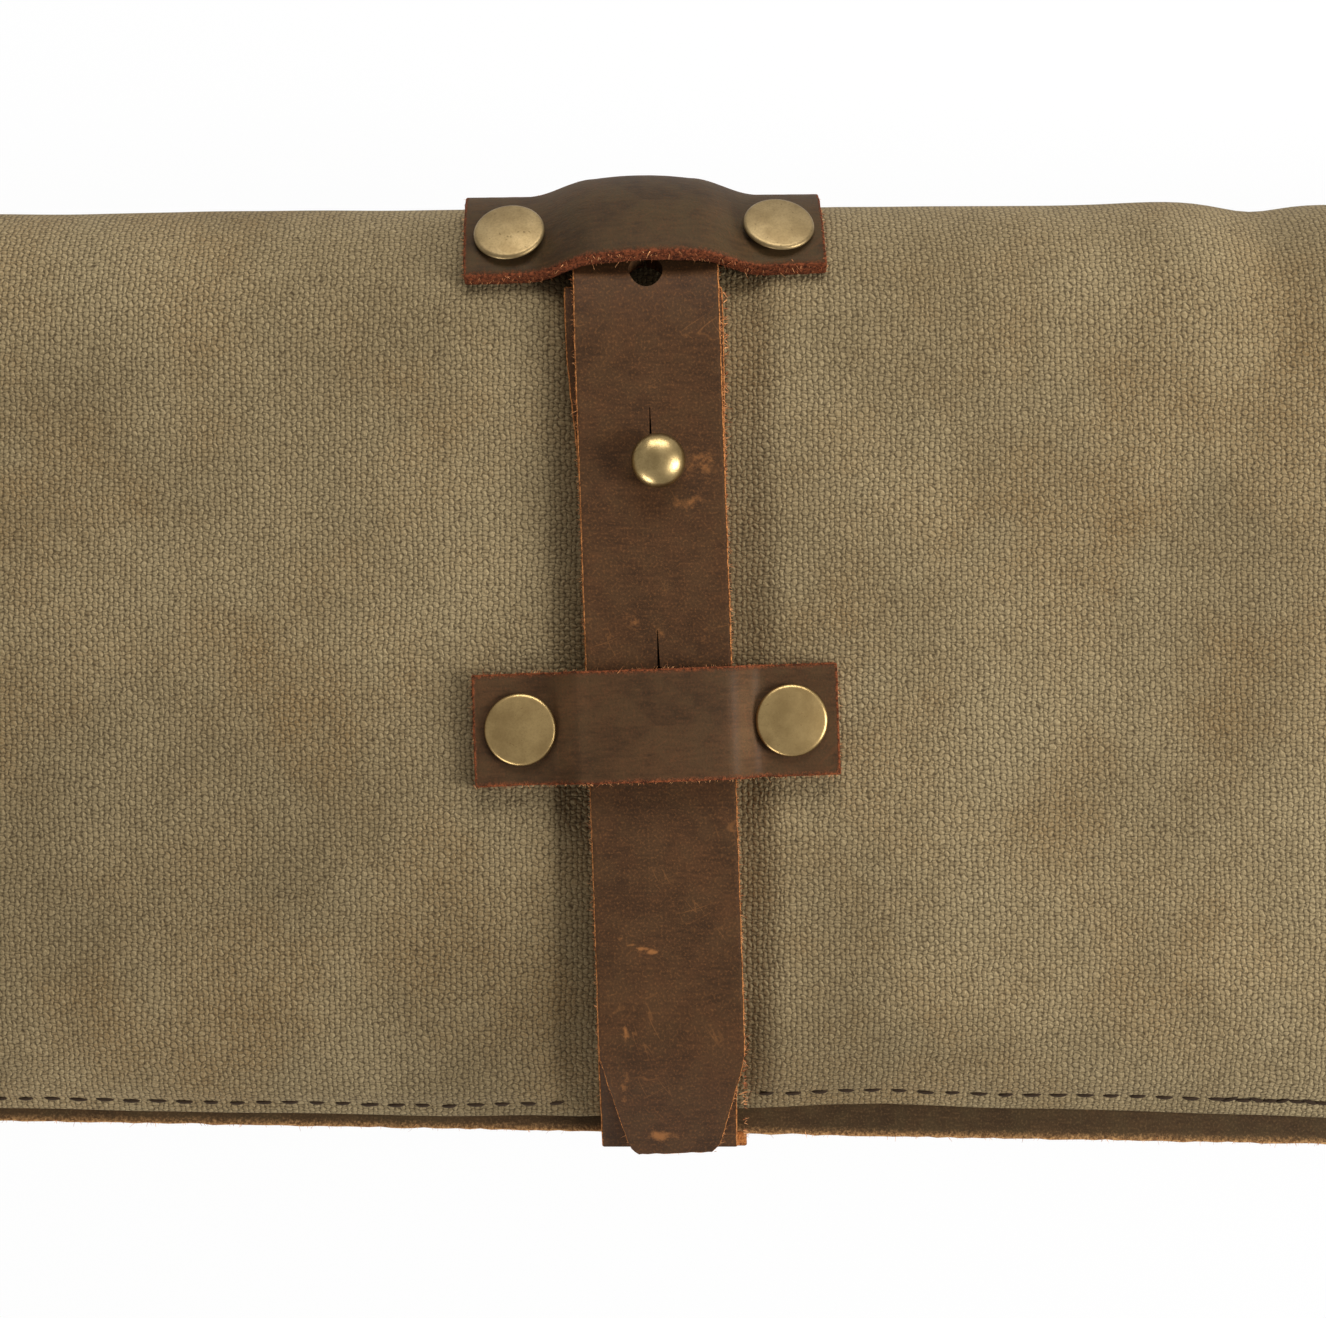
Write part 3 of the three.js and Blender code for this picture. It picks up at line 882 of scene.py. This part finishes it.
def lay_belt(piece, layer):
    """Finishes a flat run of belt and lays it at its layer's height."""
    finish_edges(piece)
    flat = points_of(piece)
    flat[:, 2] += layer(flat[:, 1])
    set_points(piece, flat)
    wrap(piece, belt_lean)
    smooth(piece)
    return dress(piece, belt_hide)


half_belt = belt_width / 2
belt_step = (3.2 * mm, 1.6 * mm)
front_step = (0.8 * mm, 0.6 * mm)

# %% [markdown]
# The tongue has three buttonholes, punched by hand at slightly uneven distances. Each one is
# a round hole with a slit above it. The cutters are a cylinder and a thin wedge: the slit in
# the real belt is a knife cut that gapes most where it meets the hole.

# %% Cut the tongue
hole_radius = 3 * mm
slit_length = 6.4 * mm
slit_width = 0.55 * mm
slit_end = 0.12 * mm
hole_places = (stud_at - 38.5 * mm, stud_at, stud_at + 31 * mm)


def buttonhole_cutters(along):
    through = 4 * leather_wall
    cylinder = dict(vertices=40, radius=hole_radius, depth=through, location=(0, along, 0))
    hole = added("hole_cutter", bpy.ops.mesh.primitive_cylinder_add, **cylinder)
    bpy.ops.object.transform_apply(location=True)
    slit = added("slit_cutter", bpy.ops.mesh.primitive_cube_add, size=1)
    corners = points_of(slit)
    upper = corners[:, 1] > 0
    corners[:, 0] *= np.where(upper, slit_end, slit_width)
    corners[:, 1] = along + np.where(upper, hole_radius + slit_length, 0.6 * hole_radius)
    corners[:, 2] *= through
    set_points(slit, corners)
    return hole, slit


tongue = belt_run("belt_tongue", tail_seam, spine_seam, front_step)
bevel(tongue, burr, 2)
for place in hole_places:
    punch(tongue, buttonhole_cutters(place))
stud_mm, hole_mm = stud_at / mm, hole_places[0] / mm
tongue_wear = [
    (8.5, stud_mm - 0.5, 3.2, 4.5, 0.6),
    (5.5, stud_mm - 7, 5, 2.4, 0.5),
    (3, stud_mm + 7, 4, 2, 0.35),
    (0, hole_mm + 9, 2, 2.5, 0.5),
    (-5, hole_mm + 11, 6, 4, 0.4),
    (8, hole_mm + 8, 3, 3, 0.4),
]
mark_spots(tongue, "worn", tongue_wear)
lay_belt(tongue, upper_layer)
print("tongue with", len(hole_places), "buttonholes")

# %% [markdown]
# The tail tapers to a blunt tip and turns down over the hem. The other two runs are plain
# strips: the stud end under the tongue, which shows a little on both sides of it near its
# end, and the run under the back.

# %% Cut the tail, the stud end and the back run


def narrowing(along):
    """From 0 where the taper begins to 1 at the tip."""
    return np.clip((taper_at - along) / (taper_at - tip_at), 0, 1)


def tail_half(along):
    return half_belt + (tip_width / 2 - half_belt) * narrowing(along)


def stud_end_spread(along):
    return rise(along, 30 * mm, 60 * mm)


tail = belt_run("belt_tail", tip_at, tail_seam, front_step)
outline = points_of(tail)
corner = np.clip((tip_at + tip_round - outline[:, 1]) / tip_round, 0, 1) ** 2 * tip_bite
outline[:, 0] *= (tail_half(outline[:, 1]) - corner) / half_belt
outline[:, 1] += outline[:, 0] * math.tan(belt_tilt) * narrowing(outline[:, 1])
set_points(tail, outline)
bevel(tail, burr, 2)
tail_wear = [
    (-8, -46, 1.2, 0.6, 0.6),
    (-6.4, -46.9, 1.3, 0.6, 0.75),
    (-4.6, -47.7, 1.4, 0.6, 0.9),
    (-2.6, -48.2, 1.4, 0.6, 0.9),
    (-0.6, -48.4, 1.3, 0.5, 0.7),
    (-7.8, -61.5, 0.8, 2, 0.6),
    (-8.4, -70, 1.2, 4, 0.6),
    (-2.2, tip_at / mm + 3.2, 3.2, 1.1, 0.85),
]
mark_spots(tail, "worn", tail_wear)
lay_belt(tail, upper_layer)

stud_end = belt_run("belt_stud_end", -hem_seam, stud_end_at, belt_step)
strip = points_of(stud_end)
drawn_in = rise(-strip[:, 1], 45 * mm, 80 * mm)
spread = stud_end_spread(strip[:, 1])
strip[:, 0] *= 1 - 0.05 * drawn_in + widening * spread
strip[:, 0] -= 1.0 * mm * drawn_in + 0.5 * mm * spread
set_points(stud_end, strip)
back_run = belt_run("belt_back_run", spine_seam, girth - hem_seam, belt_step)
for run in (stud_end, back_run):
    bevel(run, burr, 2)
    lay_belt(run, stand_off)
print("belt runs laid")

# %% [markdown]
# ## The keepers
# A keeper is a short strip that lies on the canvas at both ends and arches over the belt: the
# lower one closely, the upper one in a wide bell that begins at its rivets. It stands square
# to the belt, so its pattern is turned two degrees before it is wrapped.

# %% Cut the keepers
keeper_length = 63.5 * mm
keeper_width = 19.5 * mm
keeper_places = {"upper": 77.7 * mm, "lower": -9 * mm}
keeper_shift = {"upper": 0.0, "lower": -0.8 * mm}
arch_fall = {"upper": 2 * mm, "lower": 0.0}
rivet_drop = {"upper": 2.6 * mm, "lower": 0.0}
arch_half = {"upper": 8.6 * mm, "lower": 12.9 * mm}
arch_foot = {"upper": 20.6 * mm, "lower": 18.2 * mm}
arch_crown = {"upper": 0.6 * mm, "lower": 0.8 * mm}
# The bends get lower roughness, a coat and a painted sheen that lightens their colour; the upper
# keeper's bends get none.
bend_gloss_and_painted_sheen = {"upper": 0.0, "lower": 0.9}
arch_rise = 2 * layer_pitch - seat_swell


def turn_with_belt(x, along):
    sine, cosine = math.sin(belt_tilt), math.cos(belt_tilt)
    return x * cosine - along * sine, x * sine + along * cosine


def keeper_lift(row, across, down):
    """Height of the arch: the upper keeper is lower towards the spine, over one layer."""
    run = np.abs(across)
    height = arch_rise - arch_fall[row] * (down / keeper_width + 0.5)
    crown = arch_crown[row] * (1 - np.minimum(1, run / arch_half[row]) ** 2)
    return height * (1 - rise(run, arch_half[row], arch_foot[row])) + crown


keepers = {}
half_length, half_width = keeper_length / 2, keeper_width / 2
keeper_step = (0.9 * mm, 1.6 * mm)
for row, place in keeper_places.items():
    sides = (-half_length, half_length), (-half_width, half_width)
    keeper = hide_of(f"{row}_keeper_leather", *sides, keeper_step)
    bevel(keeper, burr, 2)
    bends = [(side * 15.5, down) for side in (-1, 1) for down in (-3, 4)]
    mark_spots(keeper, "shine", [(*bend, 2.6, 6, bend_gloss_and_painted_sheen[row]) for bend in bends])
    finish_edges(keeper, rim=0.5)
    flat = points_of(keeper)
    flat[:, 2] += seat_swell + gap + keeper_lift(row, flat[:, 0], flat[:, 1])
    flat[:, 0], flat[:, 1] = turn_with_belt(flat[:, 0] + keeper_shift[row], flat[:, 1] + place)
    set_points(keeper, flat)
    wrap(keeper)
    smooth(keeper)
    keepers[row] = dress(keeper, keeper_hides[row])
print("keepers at", [round(v / mm, 1) for v in keeper_places.values()], "mm")

# %% [markdown]
# ## Brass fittings
# Caps and stud are turned on a lathe, so we draw half a section and spin it. A fitting stands
# on a seat: a matrix whose third axis is the way out of the roll. The stud leans a little,
# pulled by the belt.

# %% Spin the rivet caps and the stud


def seat_on(x, along, out):
    here = Vector(on_roll(x, along, out))
    normal = (Vector(on_roll(x, along, out + mm)) - here).normalized()
    across = Vector((1, 0, 0))
    up = normal.cross(across)
    return Matrix.Translation(here) @ Matrix((across, up, normal)).transposed().to_4x4()


def spin_profile(name, profile, seat, metal):
    """Turns (radius, height) points into a round piece that stands on its seat."""
    links = [(i, i + 1) for i in range(len(profile) - 1)]
    piece = from_points(name, [(radius, 0, height) for radius, height in profile], links, [])
    pick(piece)
    bpy.ops.object.mode_set(mode="EDIT")
    bpy.ops.mesh.select_all(action="SELECT")
    bpy.ops.mesh.spin(steps=64, angle=math.tau, center=(0, 0, 0), axis=(0, 0, 1))
    bpy.ops.mesh.select_all(action="SELECT")
    bpy.ops.mesh.remove_doubles(threshold=0.002 * mm)
    bpy.ops.mesh.normals_make_consistent(inside=False)
    bpy.ops.object.mode_set(mode="OBJECT")
    piece.data.transform(seat)
    smooth(piece, 50)
    return dress(piece, metal)


cap_radius = 6.3 * mm
cap_height = 1.5 * mm
cap_foot = leather_wall + 2 * gap
pin_radius = 0.9 * mm
dome_radius = cap_radius - 0.8 * mm
rim_foot = cap_foot + 0.45 * mm
rim_top = 1.1 * mm
cap_profile = [(0, -mm), (pin_radius, -mm), (pin_radius, cap_foot)]
cap_profile.append((cap_radius - 0.5 * mm, cap_foot))
for i in range(7):
    swing = i / 6 * quarter_turn
    rim = dome_radius + 0.8 * mm * math.cos(swing)
    cap_profile.append((rim, rim_foot + 0.65 * mm * math.sin(swing)))
for i in range(1, 9):
    share = 1 - i / 8
    dome = rim_top + (cap_height - rim_top) * (1 - share**2)
    cap_profile.append((dome_radius * share, cap_foot + dome))

rivet_caps = {}
rivet_inset = 8.4 * mm
cap_tilt = {"upper": math.radians(5), "lower": math.radians(2.2)}
cap_nod = {"upper": math.radians(5.5), "lower": 0.0}
cap_lift = {"upper": 0.6 * mm, "lower": 0.0}
for row, place in keeper_places.items():
    for end, sign in (("left", -1), ("right", 1)):
        across = sign * (keeper_length / 2 - rivet_inset) + keeper_shift[row]
        x, along = turn_with_belt(across, place - rivet_drop[row])
        seat = seat_on(x, along, seat_swell + cap_lift[row])
        seat @= Matrix.Rotation(sign * cap_tilt[row], 4, "Y")
        seat @= Matrix.Rotation(cap_nod[row], 4, "X")
        cap = spin_profile(f"cap_{row}_{end}", cap_profile, seat, cap_brass[row])
        rivet_caps[f"{row}_{end}"] = cap

stud_lean = math.radians(7)
stud_radius = 4.75 * mm
neck_radius = 2.4 * mm
neck_foot = leather_wall + gap
head_foot = neck_foot + layer_pitch + gap
head_height = 5.8 * mm
ball_start = -0.75 * quarter_turn
ball_half = head_height / (1 - math.sin(ball_start))
ball_middle = head_foot + head_height - ball_half
screw_room = 1.7 * mm
screw_top = leather_wall + 3 * mm + gap
stud_profile = [(0, screw_top), (screw_room, screw_top), (screw_room, neck_foot)]
stud_profile += [(neck_radius, neck_foot), (neck_radius, head_foot)]
for i in range(17):
    swing = ball_start + (quarter_turn - ball_start) * i / 16
    flatten = 1 - 0.06 * max(0, math.sin(swing)) ** 3
    height = ball_middle + ball_half * math.sin(swing) * flatten
    stud_profile.append((stud_radius * max(0, math.cos(swing)), height))
stud_seat = seat_on(float(belt_lean(np.array(stud_at))), stud_at, gap)
stud_seat @= Matrix.Rotation(stud_lean, 4, "Y")
stud = spin_profile("stud_ball", stud_profile, stud_seat, stud_brass)
print(len(rivet_caps), "rivet caps and a stud")

# %% [markdown]
# ## The divider
# A sheet of leather is sewn in at the spine, so it reaches up to the cloth there. Its raw
# edge shows below the hem and runs a little out of true. Where the belt is drawn round it, the
# belt presses it in.

# %% Cut the divider
divider_spine = divider_high.y
divider_press = hem_press + 0.2 * mm
press_half = 11 * mm
skew_reach = 20 * mm
divider_root = flat_half + edge_radius + spine_bulge - canvas_wall - 4 * gap
sides = (-divider_length / 2, divider_length / 2), (divider_edge(0), divider_root)
divider = hide_of("divider_leather_page", *sides, (2 * mm, 2.6 * mm))
bevel(divider, burr, 2)
finish_edges(divider, 0.55, 0.3 * mm)
sheet = points_of(divider)
x = sheet[:, 0]
free_share = (divider_spine - sheet[:, 1]) / (divider_spine - divider_edge(0))
sheet[:, 1] -= divider_skew * x * free_share
sheet[:, 1] += spine_skew * x * rise(sheet[:, 1], divider_spine - skew_reach, divider_spine)
under_belt = np.exp(-(((x - belt_at_hem) / press_half) ** 8))
sheet[:, 1] += divider_press * under_belt * np.clip(free_share, 0, 1) ** 8
sheet[:, 2] += divider_height(sheet[:, 1]) - leather_wall / 2
set_points(divider, sheet)
smooth(divider)
dress(divider, divider_hide)
print("divider", round(divider_length / mm), "mm long")

# %% [markdown]
# ## The knife slots
# One leather panel is sewn down in lines, so it arches up between them. Towards its far end
# the arches flatten out and the panel is sewn shut.

# %% Shape the knife slots
slot_count = 4
slot_pitch = 2 * slots_half / slot_count
slot_height = 8 * mm
pocket_wall = 1.6 * mm
pockets_low, pockets_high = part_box("knife_pockets")
pocket_closing = 16 * mm
pocket_level = canvas_wall + gap + lining_wall + gap


def slot_arch(x, across):
    share = np.abs(np.sin(np.pi * (across + slots_half) / slot_pitch))
    return slot_height * share**0.6 * rise(x, pockets_low.x, pockets_low.x + pocket_closing)


sides = (pockets_low.x, pockets_high.x), (-slots_half, slots_half)
slots = hide_of("knife_slots", *sides, (4 * mm, 0.8 * mm), pocket_wall)
mark_raw(slots, pocket_wall)
keep_pattern(slots)
panel = points_of(slots)
panel[:, 2] += pocket_level + slot_arch(panel[:, 0], panel[:, 1])
panel[:, 2] *= -1
panel[:, 1] = girth / 2 - panel[:, 1]
set_points(slots, panel)
wrap(slots)
smooth(slots, 50)
dress(slots, divider_hide)
print("slots", slot_count)

# %% [markdown]
# ## Thread and frayed fibres
# A stitch is one short bead of thread and a fibre is one thin cone. Each is modelled once.
# Copies are set out on the flat pattern with a little chance in their turn and size, and the
# whole row is then wrapped like any other piece.

# %% Templates and how they are copied


def template_of(piece):
    """Reads a modelled template's points and faces and removes the object."""
    points = points_of(piece)
    faces = [tuple(face.vertices) for face in piece.data.polygons]
    bpy.data.objects.remove(piece)
    return points, faces


def copies(name, template, places):
    """One piece made of a copy of the template for each 4 by 4 place."""
    points, faces = template
    padded = np.hstack([points, np.ones((len(points), 1))])
    all_points = np.vstack([(padded @ np.array(place).T)[:, :3] for place in places])
    firsts = [i * len(points) for i in range(len(places))]
    all_faces = [tuple(first + corner for corner in face) for first in firsts for face in faces]
    return from_points(name, all_points.tolist(), [], all_faces)


ball = dict(segments=8, ring_count=6, radius=0.5)
bead = added("stitch_bead", bpy.ops.mesh.primitive_uv_sphere_add, **ball)
bead_points = points_of(bead)
bead_points[:, 2] -= 0.35 * (2 * bead_points[:, 0]) ** 2
set_points(bead, bead_points)
stitch = template_of(bead)

cone = dict(vertices=3, radius1=0.5, radius2=0.12, depth=1)
hair = added("fibre_hair", bpy.ops.mesh.primitive_cone_add, **cone)
bpy.ops.object.mode_set(mode="EDIT")
bpy.ops.mesh.select_all(action="SELECT")
bpy.ops.mesh.subdivide(number_cuts=2)
bpy.ops.object.mode_set(mode="OBJECT")
fibre = template_of(hair)


def stitch_place(x, along, out, length, width, turn=0.0):
    size = Matrix.Diagonal((length, width, 0.7 * width, 1))
    return Matrix.Translation((x, along, out)) @ Matrix.Rotation(turn, 4, "Z") @ size


# %% [markdown]
# The hem is sewn with dark thread just above its edge. Near one end the maker went back over
# the last stretch, so the stitches there lie double.

# %% Sew the hem
stitch_pitch = 4.7 * mm
stitch_length = 3.3 * mm
stitch_width = 0.85 * mm
double_from = 96 * mm
second_step = 2.2 * mm
hem_stitches = []
for i in range(int(roll_length / stitch_pitch) - 1):
    x = -roll_length / 2 + (i + 1) * stitch_pitch
    if abs(x) < half_belt + 2 * mm:
        continue
    sewn_at = float(hem_line(x))
    out = float(cover_swell(x, sewn_at)) + 0.22 * mm
    wobble = random.uniform(-0.18, 0.18) * mm
    turn = random.uniform(-0.1, 0.1)
    size = stitch_length * random.uniform(0.85, 1.1), stitch_width
    hem_stitches.append(stitch_place(x, sewn_at + wobble, out, *size, turn))
    if x > double_from:
        slope = 0.4 if i % 2 else -0.4
        second = x + second_step, sewn_at + 0.3 * mm, out + 0.15 * mm
        hem_stitches.append(stitch_place(*second, *size, slope))
hem_thread = copies("hem_stitches", stitch, hem_stitches)
lay_cloth(hem_thread, cover_slack)
smooth(hem_thread, 80)
dress(hem_thread, thread.material)

slot_stitches = []
for line in range(slot_count + 1):
    across = -slots_half + line * slot_pitch
    across += 1.2 * mm if line == 0 else -1.2 * mm if line == slot_count else 0
    x = pockets_low.x + 2 * mm
    while x < pockets_high.x:
        lift = pocket_level + float(slot_arch(x, across)) + pocket_wall
        here = x, girth / 2 - across, -lift
        slot_stitches.append(stitch_place(*here, stitch_length, stitch_width))
        x += stitch_pitch
slot_thread = copies("slot_stitches", stitch, slot_stitches)
wrap(slot_thread)
smooth(slot_thread, 80)
dress(slot_thread, thread.material)
print(len(hem_stitches), "hem stitches,", len(slot_stitches), "slot stitches")

# %% [markdown]
# Cut leather sheds fibres. They grow out of the edges of the belt and the keepers, a few to
# the millimetre, mostly short, with a long one now and then.

# %% Grow the fibres
fibres_per_mm = {"belt": 2.4, "keeper": 2.2, "divider": 1.2}
tip_fibres = 30
bare_half = 16 * mm


def fibre_place(x, along, out, angle):
    """A fibre rooted on an edge and pointing away at an angle in the pattern's plane."""
    length = random.uniform(0.4, 1.2) * mm
    if random.random() < 0.1:
        length *= 2.2
    thick = random.uniform(0.1, 0.2) * mm
    aim = Matrix.Rotation(angle + random.uniform(-0.9, 0.9), 4, "Z")
    lean = Matrix.Rotation(quarter_turn + random.uniform(-0.5, 0.5), 4, "Y")
    size = Matrix.Diagonal((thick, thick, length, 1))
    return Matrix.Translation((x, along, out)) @ aim @ lean @ size


def edge_fibres(low, high, half_width, layer):
    """Fibres for both edges of a run of belt."""
    places = []
    for side, angle in ((-1, math.pi), (1, 0)):
        for _ in range(int((high - low) / mm * fibres_per_mm["belt"])):
            along = random.uniform(low, high)
            out = float(layer(np.array(along))) + random.uniform(0.1, 0.95) * leather_wall
            x = side * float(half_width(along))
            places.append(fibre_place(x, along, out, angle))
    return places


def belt_half(along):
    return half_belt


def stud_end_half(along):
    return half_belt * (1 + widening * stud_end_spread(along))


def fibres_at(name, places):
    return dress(copies(name, fibre, places), fluff.material)


tongue_places = edge_fibres(tail_seam, spine_at - 4 * mm, belt_half, upper_layer)
tongue_places += edge_fibres(-hem_seam + mm, stud_end_at, stud_end_half, stand_off)
tip_level = float(upper_layer(np.array(tip_at)))
tip_places = []
for _ in range(tip_fibres):
    x = random.uniform(-0.5, 0.5) * tip_width
    out = tip_level + random.uniform(0.2, 0.9) * leather_wall
    tip_places.append(fibre_place(x, tip_at, out, -quarter_turn))
tail_places = edge_fibres(tip_at, tail_seam, tail_half, upper_layer) + tip_places
tongue_fibres = fibres_at("tongue_fibres", tongue_places)
tail_fibres = fibres_at("tail_fibres", tail_places)
for piece in (tongue_fibres, tail_fibres):
    wrap(piece, belt_lean)

keeper_edges = []
ends_and_edges = ((0, -1), (0, 1), (-1, 0), (1, 0))
for row, place in keeper_places.items():
    for end, edge in ends_and_edges:
        span = keeper_length if edge else keeper_width
        for _ in range(int(span / mm * fibres_per_mm["keeper"])):
            slide = random.uniform(-0.5, 0.5) * span
            across = slide if edge else end * half_length
            down = edge * half_width if edge else slide
            lift = seat_swell + gap + float(keeper_lift(row, across, down))
            out = lift + random.uniform(0.1, 0.95) * leather_wall
            x, along = turn_with_belt(across + keeper_shift[row], place + down)
            away = math.atan2(edge, end) + belt_tilt
            keeper_edges.append(fibre_place(x, along, out, away))
keeper_fibres = fibres_at("keeper_fibres", keeper_edges)
wrap(keeper_fibres)

divider_places = []
for _ in range(int(divider_length / mm * fibres_per_mm["divider"])):
    x = random.uniform(-0.5, 0.5) * divider_length
    if abs(x - belt_at_hem) < bare_half:
        continue
    y = divider_edge(x)
    z = divider_height(y) + random.uniform(-0.45, 0.45) * leather_wall
    divider_places.append(fibre_place(x, y, z, -quarter_turn))
divider_fibres = fibres_at("divider_fibres", divider_places)
for piece in (tongue_fibres, tail_fibres, keeper_fibres, divider_fibres):
    print(piece.name, len(piece.data.polygons), "faces")

# %% [markdown]
# ## Hanging it all on the frame
# Most pieces now hang on the body that carries them, and the measured solids that they dress
# are hidden. The cover's cloth, the tongue, the tail and the divider only have their places
# written into their points.

# %% Ride and hide the measured solids
spine_start = (0, spine_at, core_height - fold_below)
spine_end = (0, spine_at, core_height + fold_above)
for piece in (cover_canvas, tongue):
    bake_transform(piece)
for piece in (tail, tail_fibres):
    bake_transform(piece)
for piece in (back_canvas, back_lining, slots, slot_thread, back_run):
    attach(piece, "back")
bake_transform(divider)
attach(divider_fibres, "divider")
on_cover = [cover_lining, stud_end, stud, hem_thread, tongue_fibres, keeper_fibres]
for piece in [*on_cover, *keepers.values(), *rivet_caps.values()]:
    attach(piece, "cover")

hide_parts("front_cover")
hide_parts("back_panel")
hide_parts("cover_lining")
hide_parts("back_lining")
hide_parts("knife_pockets")
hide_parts("divider_page")
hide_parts("belt_tongue")
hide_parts("belt_tail")
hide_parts("belt_stud_end")
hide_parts("belt_back")
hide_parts("stud_head")
for row, keeper in keepers.items():
    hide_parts(f"{row}_keeper")
for place, cap in rivet_caps.items():
    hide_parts(f"rivet_cap_{place}")
for name, node in frame["nodes"].items():
    if name.startswith("rivet_post") or name == "stud_base":
        node.data.materials.clear()
        node.data.materials.append(antique_brass)
print("pieces placed")

# %% [markdown]
# ## Cloth sizes
# The lengths round the girth that the cover cloth, the back cloth and the cover lining were
# cut to are worked out here; nothing else uses them.

hem_at + spine_seam
girth - back_hem_at - spine_seam
lining_hem + lining_reach

# %% [markdown]
# ## Floor, light and camera
# The photograph looks straight down on a white ground. Three soft boxes stand round the roll:
# a strong one on the right, a weaker one in front of the hem on the left, and one behind the
# spine. A pale world fills in. The floor shows white to the camera and takes a faint shadow.

# %% Floor and world
plane = dict(size=6, location=(0, 0, -0.2 * mm))
floor = added("pale_floor", bpy.ops.mesh.primitive_plane_add, **plane)
ground = Finish("pale_floor", Roughness=0.9)
ground.shader.inputs["Base Color"].default_value = (0.86, 0.86, 0.86, 1)
shows_white = (ground.ray("Camera") + ground.ray("Glossy") + ground.ray("Transmission")) * 0.96
matt = Value(ground, ground.shader.outputs[0])
glow = ground.node("ShaderNodeEmission", inputs={"Color": (1.0, 1.0, 1.0), "Strength": 1.0})
surface = ground.node("ShaderNodeMixShader", inputs={0: shows_white, 1: matt, 2: glow})
ground.join(surface, ground.tree.nodes["Material Output"].inputs["Surface"])
floor.data.materials.append(ground.material)

scene = bpy.context.scene
scene.view_settings.view_transform = "Standard"
world = bpy.data.worlds.new("pale_world")
scene.world = world
world.use_nodes = True
sky = Sketch(world.node_tree)
background = sky.tree.nodes["Background"]
sky.join((1.0, 1.0, 1.0), background.inputs["Color"])
strength = sky.ray("Camera") * 0.76 + sky.ray("Glossy") * 0.28 + 0.24
sky.join(strength, background.inputs["Strength"])

# %% Lamps


def soft_box(name, place, aim, size, watts):
    lamp = bpy.data.lights.new(name, "AREA")
    lamp.shape = "RECTANGLE"
    lamp.size, lamp.size_y = size
    lamp.energy = watts
    holder = in_scene(name, lamp)
    holder.location = place
    holder.rotation_euler = (Vector(aim) - Vector(place)).to_track_quat("-Z", "Y").to_euler()


soft_box("right_box", (0.78, -0.12, 0.55), (0, 0, 0.04), (0.35, 0.45), 8.8)
soft_box("left_box", (-0.45, -0.85, 0.3), (0, 0, 0.04), (0.5, 0.4), 4.4)
soft_box("top_box", (0.1, 0.8, 0.6), (0, 0, 0.04), (0.8, 0.4), 7.4)

# %% Camera
photo_width = 1326
camera_distance = 0.52
strap_top = core_height + edge_radius + 2 * layer_pitch
strap_pixels = 147
view_width = photo_width * belt_width / strap_pixels
camera_data = bpy.data.cameras.new("photo_camera")
camera_data.sensor_width = 36
camera_data.sensor_fit = "HORIZONTAL"
camera_data.lens = 36 * camera_distance / view_width
camera = in_scene("photo_camera", camera_data)
camera.location = (0.7 * mm, 2.4 * mm, strap_top + camera_distance)
scene.camera = camera
print("camera lens", round(camera_data.lens, 1), "mm")
